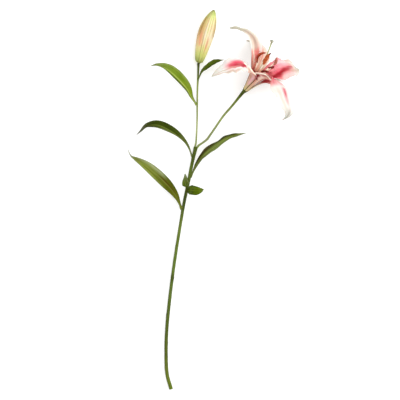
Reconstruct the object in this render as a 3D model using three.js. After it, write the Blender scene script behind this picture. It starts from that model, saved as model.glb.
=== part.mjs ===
// A cut oriental lily that lies on a flat surface: an open flower, a closed bud, seven leaves.
// Millimetres, +Z up. The surface is z = 0, and +Y runs from the cut end towards the bud.
import * as THREE from 'three';

// ---- Driving dimensions ---------------------------------------------------------------
const GAP = 0.3; // left between two pieces that are joined on the plant
const BOX_CENTRE = [0.3, -0.5]; // middle of the drawing's box, which becomes the origin

// Stalks: a path of points [x, y, z], and widths as [fraction of the length, width].
const STEM = {
  path: [[-67.8, -303, 2.95], [-74.2, -279, 2.9], [-75.8, -243, 2.8], [-74.7, -208, 2.75],
    [-71.2, -170, 2.85], [-66.2, -128, 3.4], [-60.1, -85, 4.9], [-53.7, -45, 7.6], [-47, -5.5, 11.2],
    [-40, 28, 14.4], [-34.5, 56, 17], [-28.3, 83, 19.4]],
  width: [[0, 5.7], [0.15, 5.5], [0.4, 5.2], [0.6, 4.9], [0.75, 5.1], [0.93, 5.4], [0.98, 6],
    [1, 7]],
};
const BUD_PEDICEL = {
  path: [[-29.3, 84.1, 19.5], [-28.2, 89, 19.8], [-27.1, 104, 20.4], [-26.2, 126, 21],
    [-26, 150, 21.2], [-25.7, 173, 20.5], [-24.8, 195, 18.2], [-24, 216.4, 15.2]],
  width: [[0, 3.2], [0.08, 2.9], [0.7, 2.9], [0.92, 3.4], [1, 4.6]],
};
const FLOWER_PEDICEL = {
  path: [[-25.7, 83.3, 19.5], [-23.9, 85.5, 19.6], [-17.9, 89.7, 19.9], [-10.7, 95.3, 20.2],
    [-5.4, 102.4, 20.7], [4, 116, 21.8], [15.3, 132.2, 23.6], [27.2, 145.9, 26.8],
    [37.4, 158.1, 32.3], [45.2, 167.6, 38.4], [50.5, 172.9, 42.8]],
  width: [[0, 3.5], [0.1, 3.3], [0.19, 3.8], [0.3, 3.3], [0.7, 3.7], [0.88, 4.7], [0.95, 5.8],
    [1, 9.4]],
};

// Knots of a turn about a midrib that stays level: [fraction of the length, degrees].
const NO_TWIST = [[0, 0], [1, 0]];
const FLAT = 1e-3; // a cup angle too small to see, which keeps the arc's formula finite

// The flower: where its base is, how it faces, and its petals round that axis.
const FLOWER_BASE = [50.7, 173.1, 43];
const FLOWER_HEADING = 50; // degrees from +X, seen from above
const FLOWER_PITCH = 35; // degrees up from the surface

const INNER_TEPAL = {
  width: [[0, 3.4], [0.1, 6.8], [0.22, 12], [0.32, 21], [0.42, 31], [0.53, 40], [0.63, 43],
    [0.75, 37], [0.87, 21], [0.95, 8.5], [1, 1]],
  cup: [[0, 0.6], [0.25, 0.6], [0.4, 0.3], [0.55, -0.25], [0.7, -0.45], [1, -0.3]],
  ruffle: 2.4,
  waves: 4,
};
const OUTER_TEPAL = {
  width: [[0, 3.8], [0.1, 7.8], [0.22, 13], [0.36, 21], [0.5, 28], [0.62, 32], [0.75, 29],
    [0.87, 18], [0.95, 8], [1, 1]],
  cup: [[0, 0.65], [0.25, 0.6], [0.42, 0.1], [0.6, -0.4], [1, -0.4]],
  ruffle: 1.4,
  waves: 3,
};
const TEPAL_THICKNESS = 1.1;
const TEPAL_THINNING = 0.55; // share of the thickness lost at the edges
// Where ruffles begin: across from the midrib, and along the petal until they fade at the tip.
const RUFFLE = { edge: 0.45, from: 0.3, full: 0.55, fade: 0.2, sideShift: 2 };

// Stations of each petal's midrib: [distance from the axis, height along it, turn in degrees].
const TEPALS = [
  { name: 'tepal_inner_1', kind: INNER_TEPAL, breadth: 0.72, phase: 0.4, twist: NO_TWIST,
    midrib: [[4.3, 0.6, 355], [6.2, 9, 354], [10, 23, 350], [15, 40, 346], [21.5, 56, 343],
      [30.5, 67, 341], [42, 73, 341], [55.5, 73, 343], [71, 66, 345], [85, 52, 345]] },
  { name: 'tepal_inner_2', kind: INNER_TEPAL, breadth: 0.85, phase: 2.1,
    twist: [[0, 0], [0.2, 0], [0.36, -35], [0.5, -12], [0.62, 5], [1, 0]],
    midrib: [[4.3, 0.6, 115], [6.2, 9, 117], [9.5, 25, 125], [14.5, 42, 132], [27, 55, 140],
      [44, 61.5, 143], [60.5, 63, 142], [74, 61.5, 141], [86, 58.5, 141], [94.5, 53.5, 142],
      [97, 44, 142], [94, 33, 142]] },
  { name: 'tepal_inner_3', kind: INNER_TEPAL, breadth: 0.92, phase: 4.0, twist: NO_TWIST,
    cup: [[0, 0.6], [0.25, 0.6], [0.4, 0.3], [0.6, -0.15], [1, 0.2]],
    midrib: [[4.3, 0.6, 235], [6.2, 9, 235], [9.5, 21, 236], [15.5, 33, 237], [25, 43.5, 238],
      [36, 50.5, 238], [48, 53.5, 238], [60, 53.5, 239], [71, 50.5, 240], [80.5, 46.6, 241],
      [93.3, 42.7, 241.5]] },
  { name: 'tepal_outer_1', kind: OUTER_TEPAL, breadth: 0.95, phase: 1.2, twist: NO_TWIST,
    cup: [[0, 0.65], [0.25, 0.7], [0.42, 0.1], [0.6, -0.7], [1, -0.5]],
    midrib: [[4.3, 0.6, 55], [6.6, 9, 57], [12, 24, 66], [19, 36, 68], [28.5, 46, 61],
      [39.5, 52.5, 55], [51, 56, 55], [63, 55.5, 55], [74, 50.5, 55], [81, 41, 55],
      [86, 31, 55], [89, 21, 55]] },
  { name: 'tepal_outer_2', kind: OUTER_TEPAL, breadth: 0.9, phase: 3.3, twist: NO_TWIST,
    midrib: [[4.3, 0.6, 175], [6.6, 9, 177], [12, 24, 182], [19, 35, 184], [29, 42, 184],
      [40, 45, 184], [51, 43.5, 184], [60, 38, 185], [66, 29, 186], [69, 18, 187],
      [70, 7, 187]] },
  { name: 'tepal_outer_3', kind: OUTER_TEPAL, breadth: 1, phase: 5.2, twist: NO_TWIST,
    midrib: [[4.3, 0.6, 295], [6.6, 9, 295], [12, 24, 296], [18.5, 35, 296], [27, 43, 295],
      [38, 47, 294], [50, 47.5, 294], [61, 46, 295], [71, 43, 297], [80.8, 36.6, 300],
      [86.5, 27.8, 306]] },
];

const OVARY = { start: 0.4, length: 17, lobes: 0.06,
  width: [[0, 2.6], [0.3, 4.6], [0.8, 4.8], [1, 3]] };
const STYLE = {
  path: [[0, 0, 17.8], [0.8, -0.4, 26], [2.4, -1.4, 38], [5, -3.2, 54], [9, -5.8, 70],
    [13, -8.4, 82], [15.2, -9.8, 87.5]],
  width: [[0, 2.4], [0.5, 2], [1, 3]],
};
const STIGMA = { length: 4, lobes: 0.16, width: [[0, 3.2], [0.35, 6.6], [0.75, 7], [1, 3.9]] };

// Stamens, in the flower's own frame: x towards petal 1's side, y towards the viewer, z along
// the axis. A filament starts in the ring at its turn, and its anther runs between two ends.
const FILAMENT = {
  ring: 2.75, // distance from the axis at its foot
  rise: [5, 16], // distance from the axis, and height, where it clears the ovary
  lean: 2.5, // how far its middle bows in towards the style
  width: [[0, 1.5], [0.2, 1.9], [0.8, 1.4], [1, 0.8]],
};
const ANTHER = { depth: 3.4, pinch: 0.25, bluntness: 0.95 };
const STAMENS = [
  { turn: 355, from: [12, 0.5, 49.5], to: [14, -4.5, 69.5], bulge: [4, 1, -1.5], width: 4.4 },
  { turn: 55, from: [3, 5.5, 57], to: [6, 3, 76], bulge: [-0.3, -0.4, 0.5], width: 6.4 },
  { turn: 115, from: [-0.5, 8, 46.5], to: [-11, 16.5, 59], bulge: [0.3, -0.6, 0.9], width: 4 },
  { turn: 175, from: [-5, -2.5, 54], to: [-11.5, 7.5, 68], bulge: [-1.2, 0.3, -0.5], width: 4 },
  { turn: 235, from: [-9.5, -8.5, 60.5], to: [-4.5, -29, 62.5], bulge: [-1.8, 0, 0], width: 4 },
  { turn: 295, from: [7, -9.5, 51.5], to: [5.5, -15, 70.5], bulge: [1.1, 0, 0], width: 4.4 },
];

// The bud: an axis of two points, and its width along the length.
const BUD = {
  foot: [-23.7, 217.2, 15.2],
  tip: [0.6, 301.8, 12.6],
  bow: 1.7, // how far the middle of the axis leans to the left
  width: [[0, 8], [0.03, 12.4], [0.12, 16.6], [0.3, 21.8], [0.48, 25.4], [0.66, 24.6], [0.82, 18.6],
    [0.93, 10.6], [1, 3.6]],
  outerShare: 0.66, // of the girth that the three outer petals cover
  ridge: 1.3, // how far the outer midribs stand proud
  innerRidge: 0.8,
  core: 0.9, // the wedges start this far from the axis
  turn: 20, // degrees
};

// Outlines of a leaf: [fraction of the length, share of the greatest width].
const LONG_OUTLINE = [[0, 0.2], [0.08, 0.22], [0.2, 0.48], [0.35, 0.85], [0.5, 1], [0.66, 0.9],
  [0.82, 0.55], [0.93, 0.2], [1, 0.05]];
const WISP_OUTLINE = [[0, 0.2], [0.08, 0.26], [0.2, 0.62], [0.35, 0.96], [0.48, 1], [0.62, 0.84],
  [0.76, 0.48], [0.86, 0.18], [1, 0.05]];
const YOUNG_OUTLINE = [[0, 0.3], [0.15, 0.5], [0.4, 0.95], [0.55, 1], [0.75, 0.78], [0.9, 0.36],
  [1, 0.06]];

// Leaves: which stalk carries them and where on it, the midrib points after the foot, the
// greatest width, how deep the two halves fold, and the roll about the midrib in degrees.
const LEAVES = [
  { name: 'leaf_lime', on: BUD_PEDICEL, at: 0.5, standOff: 1, width: 17.5, fold: 0.5,
    roll: [[0, -10], [1, 20]],
    midrib: [[-34.5, 162, 26], [-40.2, 175.5, 31], [-49.5, 188, 34], [-61.8, 200, 33],
      [-76, 209, 27], [-90, 213.2, 17], [-100.5, 213, 7]] },
  { name: 'leaf_dark', on: STEM, at: 0.96, standOff: 1.4, width: 14, fold: 0.45,
    roll: NO_TWIST,
    midrib: [[-41, 84.5, 23], [-54, 99.5, 28], [-70, 111.5, 31], [-88, 119, 30],
      [-104, 117.5, 22], [-115.5, 109, 10.5], [-123.5, 103, 2.5]] },
  { name: 'leaf_olive', on: STEM, at: 0.742, standOff: 1.5, width: 19.5, fold: 0.5,
    roll: NO_TWIST, outline: WISP_OUTLINE,
    midrib: [[-59, 5, 17], [-67.5, 17, 23], [-78.5, 29, 28], [-91, 41, 30], [-104, 52, 28],
      [-116, 60, 23], [-125.5, 65.5, 15.5], [-131, 69, 10], [-135, 75.5, 5.5], [-137.2, 82, 2.2]] },
  { name: 'leaf_right', on: STEM, at: 0.876, standOff: 2.1, width: 15, fold: 0.3,
    roll: [[0, -20], [0.3, -40], [1, -45]],
    midrib: [[-30, 49, 17.5], [-25, 58, 20.5], [-17, 68, 24], [-6, 77.5, 28],
      [6.7, 86.5, 30], [18, 94.5, 28], [30.5, 100.3, 22], [43, 104, 13], [53.5, 106.3, 5]] },
  { name: 'leaf_small', on: BUD_PEDICEL, at: 0.795, standOff: 1.1, width: 11, fold: 0.4,
    roll: [[0, -20], [1, -30]],
    midrib: [[-19, 200.5, 22.5], [-12.7, 207, 26], [-5.3, 213.2, 29], [4.2, 218.4, 29],
      [17, 221.5, 23]] },
  { name: 'leaf_young_right', on: STEM, at: 0.823, standOff: 0.9, width: 18, fold: 0.35,
    roll: NO_TWIST, outline: YOUNG_OUTLINE,
    midrib: [[-36, 14.5, 26], [-29, 13.8, 36], [-22, 14.3, 40], [-15.5, 15.8, 38]] },
  { name: 'leaf_young_left', on: STEM, at: 0.838, standOff: 0.9, width: 13, fold: 0.35,
    roll: NO_TWIST, outline: YOUNG_OUTLINE,
    midrib: [[-44, 24, 24], [-45.7, 29, 32], [-45.7, 35.5, 35], [-45, 41, 33]] },
];
const LEAF_THICKNESS = 0.9;
const LEAF_THINNING = 0.5;
const FOLD_POWER = 1.25; // 1 is a sharp fold along the midrib, 2 a round channel

// How finely the solids are cut: steps along and across a sheet, and round a tube.
const SHEET_STEPS = { tepal: [26, 8], leaf: [18, 4], bud: [18, 6] };
const TUBE_STEPS = { stem: [44, 12], pedicel: [20, 10], filament: [10, 6], anther: [8, 8],
  ovary: [8, 12], style: [14, 8], stigma: [5, 18] };

// ---- Small helpers --------------------------------------------------------------------
const radians = THREE.MathUtils.degToRad;
const point = (p) => new THREE.Vector3(...p);
const UP = new THREE.Vector3(0, 0, 1);

/** A smooth curve through points placed by hand. */
function pathThrough(points) {
  return new THREE.CatmullRomCurve3(points.map(point), false, 'centripetal');
}

/** Value at t of a smooth line through knots [t, value]. */
function valueAt(knots, t) {
  const last = knots.length - 2;
  let i = 0;
  while (i < last && t > knots[i + 1][0]) i += 1;
  const slope = (k) => {
    const before = knots[Math.max(k - 1, 0)];
    const after = knots[Math.min(k + 1, knots.length - 1)];
    return (after[1] - before[1]) / (after[0] - before[0]);
  };
  const [t0, v0] = knots[i];
  const [t1, v1] = knots[i + 1];
  const span = t1 - t0;
  const u = THREE.MathUtils.clamp((t - t0) / span, 0, 1);
  const rise = v1 - v0;
  const bend = (1 - u) * (slope(i) * span - rise) - u * (slope(i + 1) * span - rise);
  return v0 + u * rise + u * (1 - u) * bend;
}

/** Position, direction, and the two directions square to it: across, and out of the face. */
function frameAt(path, t, acrossHint) {
  const along = path.getTangentAt(t);
  const across = acrossHint.clone().addScaledVector(along, -acrossHint.dot(along)).normalize();
  const face = new THREE.Vector3().crossVectors(along, across);
  return { centre: path.getPointAt(t), along, across, face };
}

/** Turns a frame about its own direction. */
function rolled(frame, angle) {
  const across = frame.across.clone().applyAxisAngle(frame.along, angle);
  const face = frame.face.clone().applyAxisAngle(frame.along, angle);
  return { ...frame, across, face };
}

/** Builds a geometry from points and triangles. */
function solidFrom(points, triangles) {
  const geometry = new THREE.BufferGeometry().setFromPoints(points);
  geometry.setIndex(triangles);
  geometry.computeVertexNormals();
  return geometry;
}

/** A closed sheet. skin(t, s, side) gives its points: t 0 to 1, s -1 to 1, side 1 or -1. */
function sheet([rows, columns], skin) {
  const points = [];
  const triangles = [];
  const layer = (rows + 1) * (columns + 1);
  const at = (i, j, lower) => i * (columns + 1) + j + (lower ? layer : 0);
  const quad = (a, b, c, d) => triangles.push(a, b, c, a, c, d);
  for (const side of [1, -1]) {
    for (let i = 0; i <= rows; i += 1) {
      for (let j = 0; j <= columns; j += 1) points.push(skin(i / rows, (2 * j) / columns - 1, side));
    }
  }
  for (let i = 0; i < rows; i += 1) {
    for (let j = 0; j < columns; j += 1) {
      quad(at(i, j), at(i + 1, j), at(i + 1, j + 1), at(i, j + 1));
      quad(at(i, j, true), at(i, j + 1, true), at(i + 1, j + 1, true), at(i + 1, j, true));
    }
    quad(at(i, 0), at(i, 0, true), at(i + 1, 0, true), at(i + 1, 0));
    quad(at(i + 1, columns), at(i + 1, columns, true), at(i, columns, true), at(i, columns));
  }
  for (let j = 0; j < columns; j += 1) {
    quad(at(0, j + 1), at(0, j + 1, true), at(0, j, true), at(0, j));
    quad(at(rows, j), at(rows, j, true), at(rows, j + 1, true), at(rows, j + 1));
  }
  return solidFrom(points, triangles);
}

/** A closed tube. skin(t, angle) gives its points, and each end closes on middle(0 or 1). */
function tube([rows, sides], skin, middle) {
  const points = [];
  const triangles = [];
  const at = (i, j) => i * sides + (j % sides);
  for (let i = 0; i <= rows; i += 1) {
    for (let j = 0; j < sides; j += 1) points.push(skin(i / rows, (2 * Math.PI * j) / sides));
  }
  const foot = points.push(middle(0)) - 1;
  const top = points.push(middle(1)) - 1;
  for (let j = 0; j < sides; j += 1) {
    for (let i = 0; i < rows; i += 1) {
      triangles.push(at(i, j), at(i, j + 1), at(i + 1, j + 1));
      triangles.push(at(i, j), at(i + 1, j + 1), at(i + 1, j));
    }
    triangles.push(foot, at(0, j + 1), at(0, j));
    triangles.push(top, at(rows, j), at(rows, j + 1));
  }
  return solidFrom(points, triangles);
}

const group = new THREE.Group();

/** Adds one named piece to the plant. */
function add(name, geometry, color, roughness = 0.6) {
  const material = new THREE.MeshStandardMaterial({ color, roughness, metalness: 0 });
  const mesh = new THREE.Mesh(geometry, material);
  mesh.name = name;
  mesh.position.set(-BOX_CENTRE[0], -BOX_CENTRE[1], 0);
  group.add(mesh);
}

// ---- Stalks ---------------------------------------------------------------------------
/** A round stalk along a path, its width given by knots. */
function stalk({ path, width }, steps, placement = new THREE.Matrix4()) {
  const curve = pathThrough(path);
  const hint = new THREE.Vector3(1, 0, 0);
  const skin = (t, angle) => {
    const { centre, across, face } = frameAt(curve, t, hint);
    const radius = valueAt(width, t) / 2;
    return centre.addScaledVector(across, radius * Math.cos(angle))
      .addScaledVector(face, radius * Math.sin(angle));
  };
  return tube(steps, skin, (t) => curve.getPointAt(t)).applyMatrix4(placement);
}

add('stem', stalk(STEM, TUBE_STEPS.stem), 0x5d7a2c);
add('bud_pedicel', stalk(BUD_PEDICEL, TUBE_STEPS.pedicel), 0x6f8a38);
add('flower_pedicel', stalk(FLOWER_PEDICEL, TUBE_STEPS.pedicel), 0x66823a);

// ---- Leaves ---------------------------------------------------------------------------
/** The point just outside a stalk's skin, on the side that looks at a target. */
function footOn({ path, width }, at, standOff, target) {
  const curve = pathThrough(path);
  const centre = curve.getPointAt(at);
  const along = curve.getTangentAt(at);
  const out = point(target).sub(centre);
  out.addScaledVector(along, -out.dot(along)).normalize();
  return centre.addScaledVector(out, valueAt(width, at) / 2 + standOff);
}

/** A leaf: a thin sheet folded along its midrib, thinner towards its edges. */
function leaf({ on, at, standOff, midrib, width, fold, roll, outline = LONG_OUTLINE }) {
  const foot = footOn(on, at, standOff, midrib[0]);
  const curve = pathThrough([foot.toArray(), ...midrib]);
  return sheet(SHEET_STEPS.leaf, (t, s, side) => {
    const level = new THREE.Vector3().crossVectors(UP, curve.getTangentAt(t));
    const { centre, across, face } = rolled(frameAt(curve, t, level), radians(valueAt(roll, t)));
    const half = (width * valueAt(outline, t)) / 2;
    const depth = (LEAF_THICKNESS / 2) * (1 - LEAF_THINNING * Math.abs(s));
    return centre.addScaledVector(across, half * s * Math.cos(fold))
      .addScaledVector(face, half * Math.abs(s) ** FOLD_POWER * Math.sin(fold) + side * depth);
  });
}

for (const shape of LEAVES) add(shape.name, leaf(shape), 0x55791f);

// ---- Open flower ----------------------------------------------------------------------
/** Moves the flower's own frame, axis along +Z and petal 1 towards +X, to its place. */
function flowerPlacement() {
  const heading = radians(FLOWER_HEADING);
  const pitch = radians(FLOWER_PITCH);
  const level = Math.cos(pitch);
  const axis = point([level * Math.cos(heading), level * Math.sin(heading), Math.sin(pitch)]);
  const side = point([-Math.sin(heading), Math.cos(heading), 0]);
  const top = new THREE.Vector3().crossVectors(axis, side);
  return new THREE.Matrix4().makeBasis(side, top, axis).setPosition(point(FLOWER_BASE));
}

const FLOWER = flowerPlacement();

/** A point in the flower's frame from its distance to the axis, height and turn. */
function roundAxis([out, along, turn]) {
  return [out * Math.cos(radians(turn)), out * Math.sin(radians(turn)), along];
}

/** How much of a ruffle's height a point of a petal has. */
function ruffleShare(t, s) {
  const edge = THREE.MathUtils.smoothstep(Math.abs(s), RUFFLE.edge, 1);
  const begin = THREE.MathUtils.smoothstep(t, RUFFLE.from, RUFFLE.full);
  return edge * begin * THREE.MathUtils.smoothstep(1 - t, 0, RUFFLE.fade);
}

/** One petal: a claw cupped round the axis that opens into a ruffled, recurved blade. */
function tepal({ kind, breadth, phase, twist, midrib, cup: ownCup }) {
  const curve = pathThrough(midrib.map(roundAxis));
  return sheet(SHEET_STEPS.tepal, (t, s, side) => {
    const middle = curve.getPointAt(t);
    const level = new THREE.Vector3(-middle.y, middle.x, 0);
    const { centre, across, face } = rolled(frameAt(curve, t, level), radians(valueAt(twist, t)));
    const half = (breadth * valueAt(kind.width, t)) / 2;
    const cup = valueAt(ownCup ?? kind.cup, t) || FLAT;
    const shift = phase + (s > 0 ? RUFFLE.sideShift : 0);
    const wave = kind.ruffle * Math.sin(2 * Math.PI * kind.waves * t + shift);
    const rise = (half * (1 - Math.cos(cup * s))) / cup + wave * ruffleShare(t, s);
    const depth = (TEPAL_THICKNESS / 2) * (1 - TEPAL_THINNING * Math.abs(s));
    return centre.addScaledVector(across, (half * Math.sin(cup * s)) / cup)
      .addScaledVector(face, rise + side * depth);
  }).applyMatrix4(FLOWER);
}

for (const shape of TEPALS) add(shape.name, tepal(shape), 0xf3c3cd);

/** A solid of three-lobed sections on the axis. */
function axial({ start = 0, length, width, lobes }, steps) {
  const skin = (t, angle) => {
    const radius = (valueAt(width, t) / 2) * (1 + lobes * Math.cos(3 * angle));
    return new THREE.Vector3(radius * Math.cos(angle), radius * Math.sin(angle), start + length * t);
  };
  return tube(steps, skin, (t) => new THREE.Vector3(0, 0, start + length * t));
}

add('ovary', axial(OVARY, TUBE_STEPS.ovary).applyMatrix4(FLOWER), 0x8fae55);
add('style', stalk(STYLE, TUBE_STEPS.style, FLOWER), 0xcfd8a8);

/** The three-lobed head, set square on the end of the style. */
function stigma() {
  const curve = pathThrough(STYLE.path);
  const { centre, along, across, face } = frameAt(curve, 1, new THREE.Vector3(1, 0, 0));
  const place = new THREE.Matrix4().makeBasis(across, face, along);
  place.setPosition(centre.addScaledVector(along, GAP));
  return axial(STIGMA, TUBE_STEPS.stigma).applyMatrix4(place).applyMatrix4(FLOWER);
}

add('stigma', stigma(), 0x6b5a4a);

/** The middle line of an anther. */
function antherSpine({ from, to, bulge }) {
  const bend = point(from).add(point(to)).multiplyScalar(0.5).addScaledVector(point(bulge), 2);
  return new THREE.QuadraticBezierCurve3(point(from), bend, point(to));
}

/** Points of a filament short of its anther: the ring under the ovary, and two on the way. */
function filamentRise({ turn, ...shape }) {
  const goal = antherSpine(shape).getPoint(0.5);
  const ring = point(roundAxis([FILAMENT.ring, OVARY.start, turn]));
  const low = point(roundAxis([...FILAMENT.rise, turn]));
  const inwards = new THREE.Vector3(-goal.x, -goal.y, 0).normalize();
  const high = low.clone().lerp(goal, 0.5).addScaledVector(inwards, FILAMENT.lean);
  return [ring, low, high];
}

/** The direction from the filament's last bend to its anther, square to the anther. */
function antherFace(shape) {
  const spine = antherSpine(shape);
  const along = spine.getTangent(0.5);
  const approach = spine.getPoint(0.5).sub(filamentRise(shape)[2]);
  return approach.addScaledVector(along, -approach.dot(along)).normalize();
}

/** An anther: one bowed spindle, pinched where its two lobes meet. */
function anther(shape) {
  const spine = antherSpine(shape);
  const hint = new THREE.Vector3().crossVectors(antherFace(shape), spine.getTangent(0.5));
  const skin = (t, angle) => {
    const { centre, across, face } = frameAt(spine, t, hint);
    const swell = Math.sqrt(1 - (ANTHER.bluntness * (2 * t - 1)) ** 2);
    const pinch = 1 - ANTHER.pinch * Math.abs(Math.sin(angle));
    return centre.addScaledVector(across, (shape.width / 2) * swell * pinch * Math.cos(angle))
      .addScaledVector(face, (ANTHER.depth / 2) * swell * pinch * Math.sin(angle));
  };
  return tube(TUBE_STEPS.anther, skin, (t) => spine.getPoint(t)).applyMatrix4(FLOWER);
}

/** A filament: from its place in the ring under the ovary to just short of its anther. */
function filament(shape) {
  const tipWidth = FILAMENT.width.at(-1)[1];
  const reach = (ANTHER.depth / 2) * (1 - ANTHER.pinch) + GAP + tipWidth / 2;
  const end = antherSpine(shape).getPoint(0.5).addScaledVector(antherFace(shape), -reach);
  const path = [...filamentRise(shape), end].map((p) => p.toArray());
  return stalk({ path, width: FILAMENT.width }, TUBE_STEPS.filament, FLOWER);
}

STAMENS.forEach((shape, i) => {
  add(`filament_${i + 1}`, filament(shape), 0xf0d2c0);
  add(`anther_${i + 1}`, anther(shape), 0x9a4a22, 0.9);
});

// ---- Closed bud -----------------------------------------------------------------------
/** One petal of the bud: a wedge of the whole, with a midrib that stands proud. */
function budPiece(start, span, ridge) {
  const foot = point(BUD.foot);
  const tip = point(BUD.tip);
  const along = tip.clone().sub(foot).normalize();
  const across = new THREE.Vector3().crossVectors(along, UP).normalize();
  const face = new THREE.Vector3().crossVectors(across, along);
  return sheet(SHEET_STEPS.bud, (t, s, side) => {
    const angle = start + (span / 2) * s;
    const outer = valueAt(BUD.width, t) / 2 + ridge * Math.sqrt(t * (1 - t)) * Math.cos((Math.PI * s) / 2);
    const radius = side > 0 ? outer : Math.min(BUD.core, outer / 2);
    const out = across.clone().multiplyScalar(Math.cos(angle)).addScaledVector(face, Math.sin(angle));
    const clear = across.clone().multiplyScalar(Math.cos(start)).addScaledVector(face, Math.sin(start));
    const middle = foot.clone().lerp(tip, t).addScaledVector(across, -BUD.bow * Math.sin(Math.PI * t));
    return middle.addScaledVector(out, radius).addScaledVector(clear, GAP);
  });
}

for (let i = 0; i < 3; i += 1) {
  const turn = radians(BUD.turn + 120 * i);
  const third = (2 * Math.PI) / 3;
  add(`bud_outer_${i + 1}`, budPiece(turn, third * BUD.outerShare, BUD.ridge), 0xdcc78c);
  const share = 1 - BUD.outerShare;
  add(`bud_inner_${i + 1}`, budPiece(turn + third / 2, third * share, BUD.innerRidge), 0xe6b99a);
}

export default group;
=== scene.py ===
import math

import bpy
import numpy as np
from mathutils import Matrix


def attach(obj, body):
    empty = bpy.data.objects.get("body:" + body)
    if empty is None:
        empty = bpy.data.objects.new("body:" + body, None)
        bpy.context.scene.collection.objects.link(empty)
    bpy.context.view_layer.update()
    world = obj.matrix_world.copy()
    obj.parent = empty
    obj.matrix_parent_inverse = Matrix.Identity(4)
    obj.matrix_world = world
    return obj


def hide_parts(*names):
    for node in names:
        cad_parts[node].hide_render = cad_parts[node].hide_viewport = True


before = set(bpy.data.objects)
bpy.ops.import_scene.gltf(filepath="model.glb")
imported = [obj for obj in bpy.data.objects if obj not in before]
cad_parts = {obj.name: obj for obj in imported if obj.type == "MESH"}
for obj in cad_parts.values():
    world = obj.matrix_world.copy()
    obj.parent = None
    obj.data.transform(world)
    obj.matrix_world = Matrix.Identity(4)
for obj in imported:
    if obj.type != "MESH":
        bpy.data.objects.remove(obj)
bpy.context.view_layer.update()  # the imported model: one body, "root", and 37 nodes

# A cut oriental lily lying on a flat surface: an open flower, a closed bud and seven leaves.
# Shapes are worked out in millimetres in the drawing's frame and go into the row's frame last.

# ---- Measures -------------------------------------------------------------------------
# As in the CAD model, but for stamens 1 and 2, the ovary, the ends of the style and of the
# bud, and the tips of the leaves.
BOX_CENTRE = np.array([0.3, -0.5, 0.0])
MM = 0.001
CLEAR = 0.02  # how far every point stays above the surface

STEM = dict(
    path=[(-67.8, -303, 2.95), (-74.2, -279, 2.9), (-75.8, -243, 2.8), (-74.7, -208, 2.75),
          (-71.2, -170, 2.85), (-66.2, -128, 3.4), (-60.1, -85, 4.9), (-53.7, -45, 7.6),
          (-47, -5.5, 11.2), (-40, 28, 14.4), (-34.5, 56, 17), (-28.3, 83, 19.4)],
    width={0: 5.7, 15: 5.5, 40: 5.2, 60: 4.9, 75: 5.1, 93: 5.4, 98: 6, 100: 7})
BUD_PEDICEL = dict(
    path=[(-29.3, 84.1, 19.5), (-28.2, 89, 19.8), (-27.1, 104, 20.4), (-26.2, 126, 21),
          (-26, 150, 21.2), (-25.7, 173, 20.5), (-24.8, 195, 18.2), (-24, 216.4, 15.2)],
    width={0: 3.2, 8: 2.9, 70: 2.9, 92: 3.4, 100: 4.6})
FLOWER_PEDICEL = dict(
    path=[(-25.7, 83.3, 19.5), (-23.9, 85.5, 19.6), (-17.9, 89.7, 19.9), (-10.7, 95.3, 20.2),
          (-5.4, 102.4, 20.7), (4, 116, 21.8), (15.3, 132.2, 23.6), (27.2, 145.9, 26.8),
          (37.4, 158.1, 32.3), (45.2, 167.6, 38.4), (50.5, 172.9, 42.8)],
    width={0: 3.5, 10: 3.3, 19: 3.8, 30: 3.3, 70: 3.7, 88: 4.7, 95: 5.8, 100: 9.4})

LEVEL = {0: 0, 100: 0}  # a turn about a midrib that stays level

FLOWER_BASE = np.array([50.7, 173.1, 43])
FLOWER_HEADING = 50  # degrees from +X
FLOWER_PITCH = 35  # degrees up

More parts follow.
